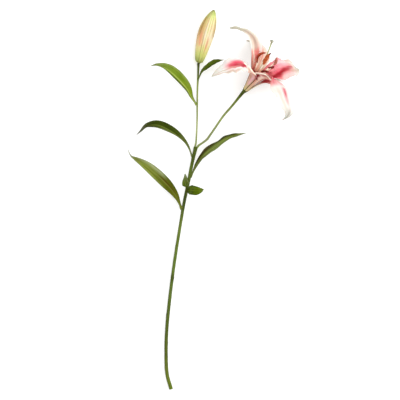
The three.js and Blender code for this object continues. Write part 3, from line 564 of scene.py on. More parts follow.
PETALS = {
    "tepal_inner_1": dict(
        seed=1.3,
        ground={0: YELLOW_GREEN, 10: 0xCE8C6E, 20: 0xBE3C3C, 25: 0xCE5A4E, 31: 0xF0987E,
                36: 0xFCAC92, 42: 0xFAA092, 48: 0xFAA698, 54: 0xF4D0C0, 60: 0xECDECC, 72: 0xE8E0CC,
                82: 0xD6D2BA, 90: 0xD6D4BC, 96: 0xCCCAB0, 100: 0x8C8C70},
        bands=[
            (0xFDF9F0, {40: 0, 50: 90, 72: 90, 80: 0}, -75, 75),
            (0xF26862, {36: 0, 44: 60, 48: 60, 54: 0}, 10, 60),
            # Painted shade across the middle of the blade.
            (0xBEA08E, {46: 0, 52: 70, 60: 100, 74: 80, 84: 30}, 35, 60),
            # Painted highlight: a cream line where the left part of the blade folds over.
            (0xFFECD4, {28: 0, 34: 90, 50: 100, 60: 30, 66: 0},
             {30: 0, 40: 42, 50: 70, 60: 65}, 19),
            (0x963A36, {16: 90, 32: 90, 40: 40, 46: 0}, 95, 70),
            # Painted shade along the left margin, which curls down away from the light.
            (0x845C4C, {28: 0, 38: 60, 46: 70, 52: 0}, 102, 20),
            (PALE, {48: 0, 54: 90, 66: 90, 74: 50, 84: 0}, 100, 30),
            # More painted shade along the left margin, towards the tip.
            (0x968C78, {70: 0, 80: 50, 95: 30}, 102, 20),
            # Painted shade: grey-green along the right margin towards the tip.
            (0x9E9E82, {74: 0, 84: 60, 96: 70}, -100, 36)]),
    "tepal_inner_2": dict(
        seed=2.1,
        ground={0: YELLOW_GREEN, 12: 0xBE5A5A, 30: 0xBA2C3C, 45: 0xE26E74, 52: 0xF4C2C0,
                58: 0xFCEEE6, 64: PALE, 80: PALE, 86: 0xF4F0E8, 92: 0xE8E6DA, 100: 0xBAB6A8},
        bands=[
            (0xCC223E, {30: 100, 46: 100, 52: 70, 58: 0}, -85, 80),
            (0xF8D6D2, {56: 0, 63: 80, 76: 70, 86: 20}, 0, 50),
            (0xDE687A, {56: 0, 61: 90, 66: 90, 73: 40, 82: 0}, {55: 8, 75: -2}, 28),
            (0xDED2BE, {56: 0, 64: 60, 80: 60, 90: 30}, -50, 30),
            (0xB0AC9C, {80: 0, 88: 80, 95: 100, 100: 100}, -10, 50)],
        outside={0: 0xECDA96, 8: 0xEEC89C, 18: 0xF4B296, 28: 0xFAACA0, 36: 0xFAB4A0, 41: 0xE8646C,
                 46: 0xD62C42, 50: 0xF0969C, 58: 0xFAEAE0, 80: CREAM, 100: 0xD2CEBE},
        outside_bands=[
            (LIP, {10: 0, 20: 40, 28: 50, 33: 0}, -20, 50),
            (0xE2605C, {12: 0, 24: 70, 34: 70, 38: 0}, 72, 30),
            (0x96683C, {3: 50, 16: 50, 26: 0}, 100, 40),
            # Painted shade: a near-black crimson patch on the widened claw, for the shadowed
            # throat seen between the claws.
            (0x80000E, {20: 0, 21.5: 100, 26.2: 100, 28.4: 0}, -66, 50),
            (0xBE6860, {27: 0, 31: 90, 37: 70, 40: 0}, -50, 40),
            (0xD62C42, {36: 0, 40: 100, 46: 100, 50: 40}, -100, 60),
            (LIP, {31: 0, 33: 100, 37: 100, 39: 0}, {34: 100, 38: 10}, 40)],
        outside_late=[
            # The same painted shade of the throat again, over the veins and clouds.
            (0x8C0012, {20.5: 0, 22: 100, 26.5: 100, 28: 0}, -66, 42),
            (LIP, {21: 0, 23: 100, 41: 100, 42: 60, 44: 0}, FOLD_LINE, 32)]),
    "tepal_inner_3": dict(
        seed=3.7,
        ground={0: YELLOW_GREEN, 12: 0xD68C78, 28: 0xDE6464, 36: 0xFE8890, 46: 0xFF8C9C,
                55: 0xFEACB6, 64: 0xFAC0C4, 72: 0xEEC8C0, 80: 0xE4D4C6, 90: 0xCEC8B4,
                100: 0xA4A68A},
        bands=[
            (PALE, {50: 0, 60: 70, 70: 90, 82: 30}, -100, 50),
            (0xEEACA8, {34: 20, 44: 60, 50: 90, 60: 50, 66: 0}, -100, 55),
            (0xC4323E, {26: 90, 36: 90, 42: 0}, -30, 70),
            (0xE2223E, {28: 90, 46: 100, 60: 80, 70: 40, 78: 0},
             {34: -75, 46: -50, 60: -22, 75: 0}, 60),
            (0xB00422, {26: 100, 50: 100, 62: 80, 72: 30, 80: 0},
             {34: -85, 46: -50, 60: -22, 75: 0}, 30),
            (0xC6A088, {60: 0, 70: 70, 84: 60, 95: 20}, -45, 34),
            (0xC42842, {60: 0, 66: 60, 74: 50, 82: 0}, 2, 14),
            (PALE, {40: 0, 50: 40, 80: 50, 90: 0}, 60, 20),
            (0xF6D4CE, {44: 0, 52: 90, 74: 80, 84: 0}, -95, 60),
            (0xD69688, {30: 50, 50: 60, 70: 40, 80: 0}, 102, 26)],
        inside_late=[
            (0xAA001A, {28: 90, 46: 100, 54: 60, 64: 0}, {34: -70, 46: -42, 60: -14, 75: 0}, 22)]),
    "tepal_outer_1": dict(
        seed=4.9,
        ground={0: YELLOW_GREEN, 12: 0xCE8C78, 32: 0x961E28, 37: 0xDEAA96, 46: 0xDAB8A4,
                52: 0xFAF0E4, 58: PALE, 70: PALE, 86: PALE, 94: 0xF8F4E6, 100: 0xD8D4C0},
        bands=[
            (0xFFC4C8, {50: 0, 56: 90, 68: 90, 78: 50, 86: 0}, 6, 84),
            (0xE83054, {50: 0, 56: 100, 66: 100, 74: 85, 83: 0},
             {50: 30, 58: 14, 66: 10, 80: 28}, 60),
            (0xBA102C, {50: 0, 55: 100, 66: 90, 73: 50, 79: 0},
             {50: 40, 58: 34, 66: 32, 80: 32}, 30),
            (LIP, {30: 0, 35: 100, 50: 100, 54: 0}, NECK_LINE, 40),
            (0xBC9678, {55: 0, 68: 60, 80: 70, 90: 30}, 82, 16),
            (0xD2B698, {62: 0, 72: 50, 86: 80, 100: 30}, 46, 10)],
        outside={0: 0xE8DA90, 7: 0xECD49A, 15: 0xF0C0A2, 26: 0xE8A48E, 36: 0xF4B6A2, 50: 0xF8D6C4,
                 70: CREAM, 100: 0xD8D6BE},
        outside_bands=[
            (0x746630, {0: 90, 10: 90, 20: 60, 32: 20}, -95, 60),
            # Painted highlight: lilac-pink on the rounded claw.
            ((0.84, 0.44, 0.5), {6: 0, 14: 80, 24: 80, 34: 20}, 50, 40),
            (0xC49682, {20: 0, 28: 60, 42: 50}, -50, 40),
            (0x96182C, {18: 0, 26: 90, 34: 100, 38: 0}, 100, 20)]),
    "tepal_outer_2": dict(
        seed=6.1,
        ground={0: YELLOW_GREEN, 12: 0xF0D8BE, 20: 0xECBEA8, 26: 0xC85450, 31: 0xBA282E,
                36: 0xCE5C54, 40: 0xFCD6C8, 50: WHITE, 90: CREAM, 100: 0xD4D0BE},
        bands=[
            (0xA80614, {22: 0, 27: 100, 34: 90, 38: 0}, 20, 85),
            (0xF6CEC8, {42: 0, 56: 40, 80: 0}, 0, 30)],
        outside={0: 0xECDE9E, 10: 0xFAECC4, 25: 0xFCE8D2, 50: CREAM, 94: 0xDEDABE, 100: 0xB0B08A}),
    "tepal_outer_3": dict(
        seed=7.7,
        # The dark crimson near the root is the throat's own colour, made darker still as painted
        # shade of the throat.
        ground={0: YELLOW_GREEN, 12: 0xB45A5A, 18: 0x961428, 23: 0xA01E2E, 27: 0xFAC4A0,
                36: 0xFFE8CE, 50: 0xFAD4BE, 62: 0xF8D6C2, 74: 0xF4E4D8, 90: 0xE6DAC6,
                100: 0xB0A88E},
        bands=[
            (0xEC7864, {20: 50, 36: 40, 50: 70, 66: 30, 80: 0}, 0, 20),
            (0xCE967E, {20: 60, 40: 60, 60: 30, 80: 0}, 90, 40)]),
}


def leaf_material(name, ground, bands, rib, tip, middle=0, gloss=0.5, rib_width=12):
    """A leaf: colours along it, bands of light and shade over them, a pale midrib, fine veins."""
    m = Shader("leaf_" + name, gloss, 0.06, **GREEN_SKIN)
    streak = m.noise(1, 3, (3, 9), 1.7)
    colour = m.bands(m.ramp(ground), bands, streak)
    blotch = m.step(m.noise(1, 3, (5, 5), 3), 0.42, 0.66)
    colour = m.lay(colour, 0xBAC078, blotch, 0.42, "MULTIPLY")
    colour = m.lay(colour, rib, m.step(m.noise(1, 3, (4, 8), 9), 0.5, 0.72), 0.22)
    veins = m.stripes(18, 0.02, 2)
    colour = m.lay(colour, rib, veins, 0.11)
    # Painted shade: the blade darkens towards both margins, where it turns away from the light.
    edge = m.step(m.math("ABSOLUTE", m.across), 0.72, 1)
    colour = m.lay(colour, 0x969C5A, edge, 0.5, "MULTIPLY")
    midrib = (rib, {0: 90, 50: 90, 75: 60, 90: 0}, middle, rib_width)
    colour = m.bands(colour, [midrib], streak, 0.3)
    colour = m.mix(m.shares({86: 0, 95: 60, 100: 90}), colour, tip)
    under = m.lay(0x7E9448, 0x607A32, veins, 0.3)
    under = m.bands(under, [(0xA0B468, {0: 90, 80: 60, 100: 0}, 0, 10)], streak, 0.3)
    colour = m.mix(m.step(m.mark, -0.9, 0.9), under, colour)
    height = m.math("MULTIPLY_ADD", m.noise(700, 3), 0.7, veins)
    return m.finish(colour, height, 0.00018, 0.8)


def stalk_material(name, stops):
    """A stalk: colours along it, fine ribs, specks, dark scars, and a pale cut end."""
    m = Shader("stalk_" + name, 0.5, 0.08, **GREEN_SKIN)
    colour = m.lay(m.ramp(stops), 0xA6B078, m.step(m.noise(60, 3), 0.3, 0.75), 0.45, "MULTIPLY")
    ribs = m.noise(1, 2, (14, 20), 1)
    colour = m.lay(colour, 0x96A454, m.step(ribs, 0.45, 0.7), 0.25)
    colour = m.lay(colour, 0xAAB474, m.step(m.noise(1400, 1), 0.66, 0.76), 0.3)
    scar = m.math("MULTIPLY", m.mark, 1, clamp=True)
    colour = m.mix(scar, colour, 0x2C2C0E)
    face = m.mix(m.step(m.noise(1500, 2), 0.4, 0.65), 0xB8BE78, 0x747C3C)
    colour = m.mix(m.step(m.mark, 1.2, 1.9), colour, face)
    height = m.math("MULTIPLY_ADD", m.noise(1100, 3), 0.4, ribs)
    return m.finish(colour, height, 0.00025, 0.8)


def pollen_material(name, dark, light, share):
    """An anther split open: grains of pollen over a dark husk."""
    m = Shader(f"pollen_{name}", 0.85, 0.1)
    coarse, fine = m.noise(900, 3), m.noise(4200, 2)
    colour = m.mix(m.step(m.noise(260, 2), share - 0.12, share + 0.12), light, dark)
    colour = m.lay(colour, light, m.step(fine, 0.4, 0.65), 0.5)
    furrow = m.math("ABSOLUTE", m.math("SINE", m.math("MULTIPLY", m.across, 2 * math.pi)))
    colour = m.mix(m.step(furrow, 0, 0.4, (0.8, 0)), colour, 0x421A0C)
    height = m.math("MULTIPLY_ADD", fine, 0.6, coarse)
    return m.finish(colour, height, 0.0004, 1)


def fleshy_material(name, stops, speck, specks=0.2):
    """A stamen's stalk, the style or the ovary: soft, finely streaked along its length."""
    m = Shader("flesh_" + name, 0.45, 0.25, **PETAL_SKIN)
    streak = m.noise(1, 3, (4, 9))
    colour = m.lay(m.ramp(stops), speck, m.step(streak, 0.4, 0.7), specks)
    height = m.math("MULTIPLY_ADD", m.noise(1500, 2), 0.4, streak)
    return m.finish(colour, height, 0.00015, 0.8)


# ---- Stalks ---------------------------------------------------------------------------
# Scars that fallen leaves left: (share of the length, turn about the stalk, height in mm).
STEM_SCARS = [(0.09, 2.6, 0.25), (0.19, 0.4, 0.25), (0.305, 2.9, 0.4), (0.385, 1.2, 0.2),
              (0.46, 0.9, 0.45), (0.59, 2.4, 0.25), (0.715, 1.6, 0.4), (0.742, 3.1, 0.3),
              (0.83, 1.6, 0.3), (0.876, 0.2, 0.3), (0.96, 3.0, 0.4)]
RIB_HEIGHT = 0.012  # as a share of a stalk's radius
SWELL_HEIGHT = 0.012  # the same, for the slow swells along it
SWELL_LENGTH = 34


def stalk_section(length, scars):
    """Ribs that wander a little round the stalk, and a crescent under each scar."""
    def section(T, A, R):
        shape = 1 + RIB_HEIGHT * np.cos(7 * A + 5 * T)
        shape = shape + 0.6 * RIB_HEIGHT * np.cos(3 * A - 9 * T)
        shape = shape + SWELL_HEIGHT * np.sin(2 * math.pi * length / SWELL_LENGTH * T)
        mark = 0 * T
        for at, turn, size in scars:
            facing = smooth(np.cos(A - turn), -0.3, 0.9)
            below = (T - at) * length + 1.1 * (1 - np.cos(A - turn))
            crescent = hump(below, 0.5, 1.6) + 0.5 * hump(below, -2.5, 2.4)
            shape = shape + size / R * facing * crescent
            mark = np.maximum(mark, facing * hump(below, 1.2, 0.7) * min(1, 2.2 * size))
        return R * shape, mark
    return section


def stalk(node, shape, rows, sides, colours, scars, root, **ends):
    """A stalk whose foot reaches root mm into what it grows from."""
    path = Path(rooted(shape["path"], root))
    made = tube(path, shape["width"], rows, sides, stalk_section(path.length, scars), **ends)
    piece(node, *made, stalk_material(node, colours), "stalk")


stalk("stem", STEM, 480, 32,
      {0: 0x687A18, 8: 0x687424, 17: 0x56621A, 30: 0x586820, 43: 0x607628, 46: 0x425012,
       50: 0x687E2E, 66: 0x687A2C, 72: 0x586626, 76: 0x3E4C14, 84: 0x48560A, 90: 0x687A30,
       95: 0x3E4E0A, 100: 0x4E5E1A},
      STEM_SCARS, 0, foot=CUT_END, foot_mark=CUT_FACE, top=ROUND_END)
stalk("bud_pedicel", BUD_PEDICEL, 160, 22,
      {0: 0xA2AE70, 22: 0xBEC890, 36: 0xB4BE80, 50: 0xA2AE6A, 66: 0xA6B26E, 76: 0x9CAA5E,
       82: 0x707E2E, 90: 0x5C6828, 100: 0x343C0A},
      [(0.5, 2.6, 0.2), (0.795, 0.6, 0.25)], 2.2)
stalk("flower_pedicel", FLOWER_PEDICEL, 200, 24,
      {0: 0x9AA860, 16: 0x929A68, 30: 0x929E64, 46: 0x9CAA64, 60: 0x94A25A, 76: 0x7A8838,
       85: 0x6C7A32, 92: 0x48540E, 100: 0x50520E},
      [(0.19, 1.2, 0.25)], 2.2, top=[(0.93, 0.3), (0.7, 0.55), (0.35, 0.6)])


# ---- Leaves ---------------------------------------------------------------------------
LEAF_DEPTH = 0.8
LEAF_SUNK = 0.5  # how far a leaf's foot stands inside its stalk
# How wide a leaf is on each side of its midrib, against the even outline.
EVEN = {0: 1, 100: 1}
LEAF_TRIMS = {
    "leaf_lime": dict(left={0: 1, 50: 1, 69: 0.7, 81: 0.45, 94: 0.4, 100: 1},
                      right={0: 1, 20: 1.1, 50: 0.95, 100: 1}),
    "leaf_dark": dict(left={0: 1, 10: 0.7, 20: 0.4, 32: 0.5, 46: 0.85, 60: 1, 70: 0.85, 82: 0.4,
                            94: 0.7, 100: 1},
                      right={0: 1, 20: 1.15, 50: 1, 100: 1}),
    "leaf_right": dict(left={0: 1, 20: 1.1, 42: 1.14, 56: 0.84, 69: 1.04, 82: 0.8, 100: 1}),
    "leaf_small": dict(right={0: 0.6, 20: 0.3, 32: 0.35, 46: 0.75, 58: 1.05, 100: 1},
                       left={0: 1, 30: 0.85, 100: 0.85}),
    "leaf_young_right": dict(right={0: 1, 30: 1, 44: 0.8, 60: 0.85, 75: 1, 100: 1}),
    "leaf_young_left": dict(left={0: 1, 40: 1, 56: 0.75, 70: 0.5, 82: 0.4, 100: 0.8}),
}


def trimmed(trim, T, S):
    """The trim at T on the side of the midrib that S is on."""
    left, right = (value_at(trim.get(side, EVEN), T) for side in ("left", "right"))
    return np.where(S > 0, left, right)


def leaf(node, shape, material, seed):
    """A blade folded along its midrib, with waved margins, that grows out of its stalk."""
    stem = Path(shape["on"]["path"])
    at = np.array([shape["at"]])
    centre, along = stem.at(at)[0], stem.along(at)[0]
    out = np.array(shape["midrib"][0], float) - centre
    out = unit(out - along * (out @ along))
    foot = centre + out * (value_at(shape["on"]["width"], at)[0] / 2 - LEAF_SUNK)
    path = Path([foot, *shape["midrib"]])
    outline = shape.get("outline", LONG_OUTLINE)
    trim = LEAF_TRIMS.get(node, {})

    def skin(T, S, side):
        t = T[:, 0]
        level = np.cross(UP, path.along(t))
        middle, _, across, face = frames(path, t, level, value_at(shape["roll"], t))
        half = shape["width"] * value_at(outline, T) / 2
        half = half * trimmed(trim, T, S)
        half = half * (1 + 0.5 * (1 - smooth(T, 0, 0.05)))
        half = half * np.sqrt(np.clip((1 - T) / 0.012, 0, 1))
        size, x = np.abs(S), half * S
        blade = smooth(T, 0.1, 0.35) * (1 - smooth(T, 0.8, 1))
        sway = 2 * math.pi * 2.6 * T + seed + 2.1 * np.sign(S)
        flutter = 0.7 * smooth(size, 0.5, 1) * np.sin(sway)
        flutter += 0.3 * smooth(size, 0.6, 1) * np.sin(2 * math.pi * 7 * T + 3 * seed + np.sign(S))
        ridge = -0.35 * hump(x, 0, 0.7) + 0.12 * hump(np.abs(x), 1.6, 0.8)
        ridge += 0.06 * np.cos(math.pi * 10 * S) * smooth(size, 0.15, 0.3)
        depth = LEAF_DEPTH / 2 * (1 - 0.7 * size ** 2) + 0.35 * (1 - smooth(T, 0, 0.06))
        keel = np.where(side < 0, -0.3 * hump(x, 0, 0.8), 0)
        rise = half * size ** FOLD_POWER * math.sin(shape["fold"]) + (flutter + ridge) * blade
        rise = rise + side * depth + keel * blade
        return spread(middle, across, face, x * math.cos(shape["fold"]), rise)

    piece(node, *sheet(*LEAF_GRID, skin), material, "leaf")


# Each leaf's bands are painted light and shade: lighter and darker halves of the folded blade, and
# on leaf_olive a painted sheen and a shaded middle.
LEAF_LOOKS = {
    "leaf_lime": dict(
        middle={10: 20, 30: 46, 60: 50, 90: 10}, rib=0xCEDE78, rib_width=13, tip=0x889460,
        ground={0: 0x92A446, 10: 0x9AAE42, 20: 0x9CB428, 30: 0x8EA624, 45: 0x809C18, 60: 0x8AA628,
                72: 0x96B042, 84: 0x98AC52, 100: 0x929E68},
        bands=[
            (0xB2C46C, {20: 0, 40: 70, 70: 90, 90: 40}, -95, 42),
            (0x405400, {12: 0, 22: 90, 40: 100, 60: 70, 75: 0}, 88, 46)]),
    "leaf_dark": dict(
        middle={10: 10, 35: 36, 60: 30, 90: 10}, rib=0x84963C, tip=0x7C7E70,
        ground={0: 0x7C8654, 15: 0x788248, 25: 0x687234, 34: 0x425000, 50: 0x3C4A00, 66: 0x3C4A00,
                76: 0x4A5222, 86: 0x6C7054, 100: 0x7E8070},
        bands=[
            (0x808C4A, {20: 30, 34: 90, 48: 70, 60: 30, 75: 0}, 85, 50),
            (0x747C48, {20: 50, 40: 60, 70: 40, 85: 50}, -100, 22)]),
    "leaf_olive": dict(
        middle=6, rib=0x808A3E, tip=0xBEBEB6, gloss=0.42,
        ground={0: 0x8E9640, 14: 0x7A7E1C, 30: 0x5E6400, 42: 0x727A1A, 54: 0x909A3C, 70: 0xA0AC4C,
                82: 0x9EA852, 92: 0xB0B48C, 100: 0xB4B4AA},
        bands=[
            (0x604606, {14: 0, 24: 60, 38: 80, 50: 0}, -10, 42),
            (0xC4CC98, {36: 0, 48: 90, 66: 80, 80: 30}, -75, 60),
            (0x5C680E, {20: 40, 36: 70, 52: 80, 64: 80, 72: 0}, 42, 26),
            (0xA4B470, {30: 0, 42: 90, 75: 80, 85: 30}, 100, 34)]),
    "leaf_right": dict(
        middle={10: 0, 50: -2, 90: 0}, rib=0x96A85C, tip=0x96A070,
        ground={0: 0x84904C, 18: 0x707A34, 28: 0x606818, 38: 0x7C8838, 52: 0x849646, 66: 0x82943A,
                80: 0x748230, 100: 0x929C6C},
        bands=[
            (0x2E2E00, {14: 40, 22: 100, 44: 100, 54: 70, 64: 100, 80: 80, 90: 0}, 74, 66),
            (0x542E08, {22: 0, 32: 80, 46: 60, 56: 0}, 86, 30),
            (0xA4B47C, {30: 30, 45: 90, 60: 50, 70: 0}, -90, 30)]),
    "leaf_small": dict(
        rib=0x708228, tip=0x4C5818,
        ground={0: 0x68763C, 30: 0x5A6824, 50: 0x4E6404, 75: 0x5A6C14, 100: 0x54601E},
        bands=[
            (0x768630, {20: 0, 50: 60, 90: 50}, 60, 40),
            (0x3C4A04, {30: 0, 45: 70, 70: 60, 90: 0}, -50, 40)]),
    "leaf_young_right": dict(
        rib=0x7C9408, tip=0x6C7A34,
        ground={0: 0x465402, 20: 0x4C5E00, 34: 0x607602, 45: 0x506200, 70: 0x607602,
                100: 0x6C7C2C},
        bands=[(0x748A10, {20: 0, 35: 70, 75: 60, 100: 0}, 50, 30)]),
    "leaf_young_left": dict(
        rib=0x889654, tip=0x92987A,
        ground={0: 0x627404, 30: 0x607404, 50: 0x6A7C16, 70: 0x768442, 85: 0x889262,
                100: 0x969A82},
        bands=[(0x96A468, {30: 30, 60: 80, 90: 40}, -90, 45)]),
}
for number, (node, look) in enumerate(LEAF_LOOKS.items()):
    leaf(node, LEAVES[node], leaf_material(node, **look), 1.7 * number)


# ---- Open flower ----------------------------------------------------------------------
def flower_directions():
    """Columns: towards petal 1's side, towards the viewer, and along the axis."""
    heading, pitch = math.radians(FLOWER_HEADING), math.radians(FLOWER_PITCH)
    level = math.cos(pitch)
    axis = np.array([level * math.cos(heading), level * math.sin(heading), math.sin(pitch)])
    side = np.array([-math.sin(heading), math.cos(heading), 0])
    return np.column_stack([side, np.cross(axis, side), axis])


FLOWER = flower_directions()


def in_flower(made):
    points, faces, place = made
    return points @ FLOWER.T + FLOWER_BASE, faces, place


def round_axis(out, along, turn):
    return (out * math.cos(math.radians(turn)), out * math.sin(math.radians(turn)), along)


# How a petal departs from the even one: its width on each side of the midrib, how much its
# left margin is scalloped, the height of its ruffles and of the small waves on them, how far
# its tip turns about its midrib, and a lip that swells one face along a line.
EVEN_PETAL = dict(flutter=0.02, ruffle=1, crinkle=1, tip_turn=0, lip=None)
TRIMS = {
    "tepal_inner_1": dict(
        left={0: 1, 16: 1, 25: 1.7, 35: 2.1, 45: 1.55, 54: 1, 70: 0.74, 82: 0.56, 90: 0.5,
              100: 0.8},
        tip_turn=-50, ruffle=0.35, crinkle=0.5, flutter=0.012),
    "tepal_inner_2": dict(
        right={0: 1, 20: 1, 22: 1.5, 24: 2.5, 26: 2.2, 28: 1.6, 31: 1.05, 35: 0.8, 38: 0.65, 46: 1,
               54: 1.2, 62: 1, 75: 1, 88: 0.8, 100: 0.8},
        lip=dict(line=FOLD_LINE, height=1.1, width=0.2, side=-1), crinkle=1.6),
    "tepal_inner_3": dict(
        right={0: 1, 34: 1.15, 42: 1.5, 48: 1.4, 54: 1.1, 60: 1, 100: 1},
        ruffle=1.2, crinkle=1.8, flutter=0.04),
    "tepal_outer_1": dict(
        left={0: 1, 20: 1.05, 28: 1.1, 36: 1, 42: 1.15, 52: 1.05, 100: 1},
        lip=dict(line=NECK_LINE, height=2.2, width=0.2, side=1), ruffle=1.5, crinkle=2.0,
        flutter=0.07),
}


def petal_skin(shape, trim):
    trim = {**EVEN_PETAL, **trim}
    lip = trim["lip"]
    path = Path(rooted([round_axis(*station) for station in shape["midrib"]], 0.8))
    phase = shape["phase"]

    def skin(T, S, side):
        t = T[:, 0]
        middle = path.at(t)
        level = np.stack([-middle[:, 1], middle[:, 0], 0 * t], 1)
        twist = value_at(shape["twist"], t) + trim["tip_turn"] * smooth(t, 0.84, 0.97)
        middle, _, across, face = frames(path, t, level, twist)
        size = np.abs(S)
        blade = smooth(T, 0.3, 0.55) * smooth(1 - T, 0, 0.2)
        half = shape["breadth"] * value_at(shape["width"], T) / 2
        half = half * np.sqrt(np.clip((1 - T) / 0.02, 0.002, 1))
        half = half * trimmed(trim, T, S)
        scallop = np.sin(2 * math.pi * 9 * T + 5 * phase)
        scallop = scallop + 0.5 * np.sin(2 * math.pi * 17 * T + phase)
        flutter = np.where(S > 0, trim["flutter"], EVEN_PETAL["flutter"])
        half = half * (1 + flutter * blade * scallop)
        cup = value_at(shape["cup"], T)
        cup = np.where(np.abs(cup) < 1e-3, 1e-3, cup)
        x = half * np.sin(cup * S) / cup
        rise = half * (1 - np.cos(cup * S)) / cup
        wave = np.sin(2 * math.pi * shape["waves"] * T + phase + np.where(S > 0, 2, 0))
        rise = rise + shape["ruffle"] * trim["ruffle"] * smooth(size, 0.45, 1) * blade * wave
        crinkle = np.sin(2 * math.pi * 9 * T + 7 * S + 2 * phase)
        crinkle = crinkle + 0.6 * np.sin(2 * math.pi * 15 * T - 9 * S)
        rise = rise + 0.3 * trim["crinkle"] * smooth(size, 0.5, 1) * blade * crinkle
        rise = rise + 0.5 * blade * np.sin(math.pi * size) * np.sin(2 * math.pi * 1.9 * T + phase)
        flank = smooth(T, 0.04, 0.2) * (1 - smooth(T, 0.8, 0.98)) * np.minimum(1, half / 6)
        groove = 0.3 * hump(np.abs(half * S), 2.9, 1.5) - 0.8 * hump(half * S, 0, 1.4)
        rise = rise + flank * groove
        thick = 1.0 + 0.5 * (1 - smooth(T, 0, 0.35))
        depth = thick / 2 * (1 - 0.78 * size ** 2.4)
        if lip and side == lip["side"]:
            reach = smooth(T, 0.22, 0.28) * (1 - smooth(T, 0.42, 0.52))
            line = value_at({at: across / 100 for at, across in lip["line"].items()}, T)
            depth = depth + lip["height"] * reach * hump(S, line, lip["width"])
        return spread(middle, across, face, x, rise + side * depth)

    return skin


PAPILLAE = 46  # on each inner petal
PAPILLA_RINGS = [(-0.3, 0.5), (0.15, 0.42), (0.5, 0.26), (0.72, 0.12)]  # height, radius


def papillae(skin, seed, count):
    """Small fleshy bumps on the inner face near the throat."""
    draw = np.random.default_rng(seed)
    t, s = draw.uniform(0.2, 0.5, count), draw.uniform(-0.72, 0.72, count)
    tall = draw.uniform(0.6, 1.1, count) * (1.25 - 1.2 * np.abs(t - 0.34) / 0.16 * 0.5)
    nudge = 0.004

    def spot(dt, ds):
        spots = ((np.array([[a + dt]]), np.array([[b + ds]])) for a, b in zip(t, s))
        return np.concatenate([skin(T, S, 1)[0] for T, S in spots])

    base = spot(0, 0)
    along, across = unit(spot(nudge, 0) - base), unit(spot(0, nudge * 4) - base)
    out = unit(np.cross(along, across))
    sides = 7
    angle = np.linspace(0, 2 * math.pi, sides, endpoint=False)
    faces = tube_faces(len(PAPILLA_RINGS), sides)
    bumps = []
    for k in range(count):
        wheel = turned(along[k], across[k], angle)
        body = [base[k] + out[k] * tall[k] * high + wheel * tall[k] * wide
                for high, wide in PAPILLA_RINGS]
        ends = [base[k] - out[k] * 0.35 * tall[k], base[k] + out[k] * 0.78 * tall[k]]
        points = np.vstack([*body, ends])
        bumps.append((points, faces, np.broadcast_to([t[k], s[k], PAPILLA_MARK], points.shape)))
    return joined(*bumps)


for number, (node, shape) in enumerate(TEPALS.items()):
    skin = petal_skin(shape, TRIMS.get(node, {}))
    made, slot = sheet(*PETAL_GRID, skin), "petal_outer"
    if "inner" in node:
        made, slot = joined(made, papillae(skin, 11 + number, PAPILLAE)), "petal_inner"
    piece(node, *in_flower(made), petal_material(node, PETALS[node]), slot)


def axis_path(start, length):
    return Path([(0, 0, start + length * share) for share in (0, 0.5, 1)])


ovary = tube(axis_path(OVARY["start"], OVARY["length"]), OVARY["width"], 40, 36,
             lambda T, A, R: (R * (1 + OVARY["lobes"] * np.cos(6 * A)), 0 * T))
piece("ovary", *in_flower(ovary),
      fleshy_material("ovary", {0: 0x96B054, 100: 0xB0C46E}, 0x78963C), "pistil")
style_path = Path(STYLE["path"])
style = tube(style_path, STYLE["width"], 90, 18,
             lambda T, A, R: (R * (1 + 0.05 * np.cos(3 * A)), 0 * T))
piece("style", *in_flower(style),
      fleshy_material("style", {0: 0xBECC8C, 50: 0xD6DAA8, 90: 0xC4CE92, 100: 0xA0A478}, 0xB4BE78),
      "pistil")


STIGMA_SUNK = 0.2  # how far the stigma's foot stands inside the style's end


def stigma():
    """The three-lobed head of the style, furrowed from its middle between the lobes."""
    centre, along, across, face = frames(style_path, np.array([1.0]), np.array([[1.0, 0, 0]]))
    grain = np.random.default_rng(3)

    def section(T, A, R):
        furrow = 1 + 0.2 * np.cos(3 * A) * smooth(T, 0.1, 0.6)
        return 0.82 * R * furrow * (1 + grain.normal(0, 0.012, T.shape)), 0 * T

    path = axis_path(0, STIGMA["length"])
    top = [(0.9, 0.35), (0.66, 0.4), (0.36, 0.05), (0.12, -0.5)]
    points, faces, place = tube(path, STIGMA["width"], 26, 60, section, top=top)
    points = points @ np.vstack([across[0], face[0], along[0]]) + centre[0]
    return points - along[0] * STIGMA_SUNK, faces, place


piece("stigma", *in_flower(stigma()),
      fleshy_material("stigma", {0: 0xCED2AA, 40: 0xC8C8AE, 100: 0xB0B09E}, 0x6E685C, 0.4),
      "stigma")


class Spine:
    """The middle line of an anther: one even bend from end to end."""

    def __init__(self, shape):
        start, end, bulge = (np.array(shape[key], float) for key in ("start", "end", "bulge"))
        self.corners = start, (start + end) / 2 + 2 * bulge, end

    def at(self, t):
        t = np.asarray(t, float)[:, None]
        a, b, c = self.corners
        return a * (1 - t) ** 2 + 2 * b * t * (1 - t) + c * t ** 2

    def along(self, t):
        t = np.asarray(t, float)[:, None]
        a, b, c = self.corners
        return unit((b - a) * (1 - t) + (c - b) * t)


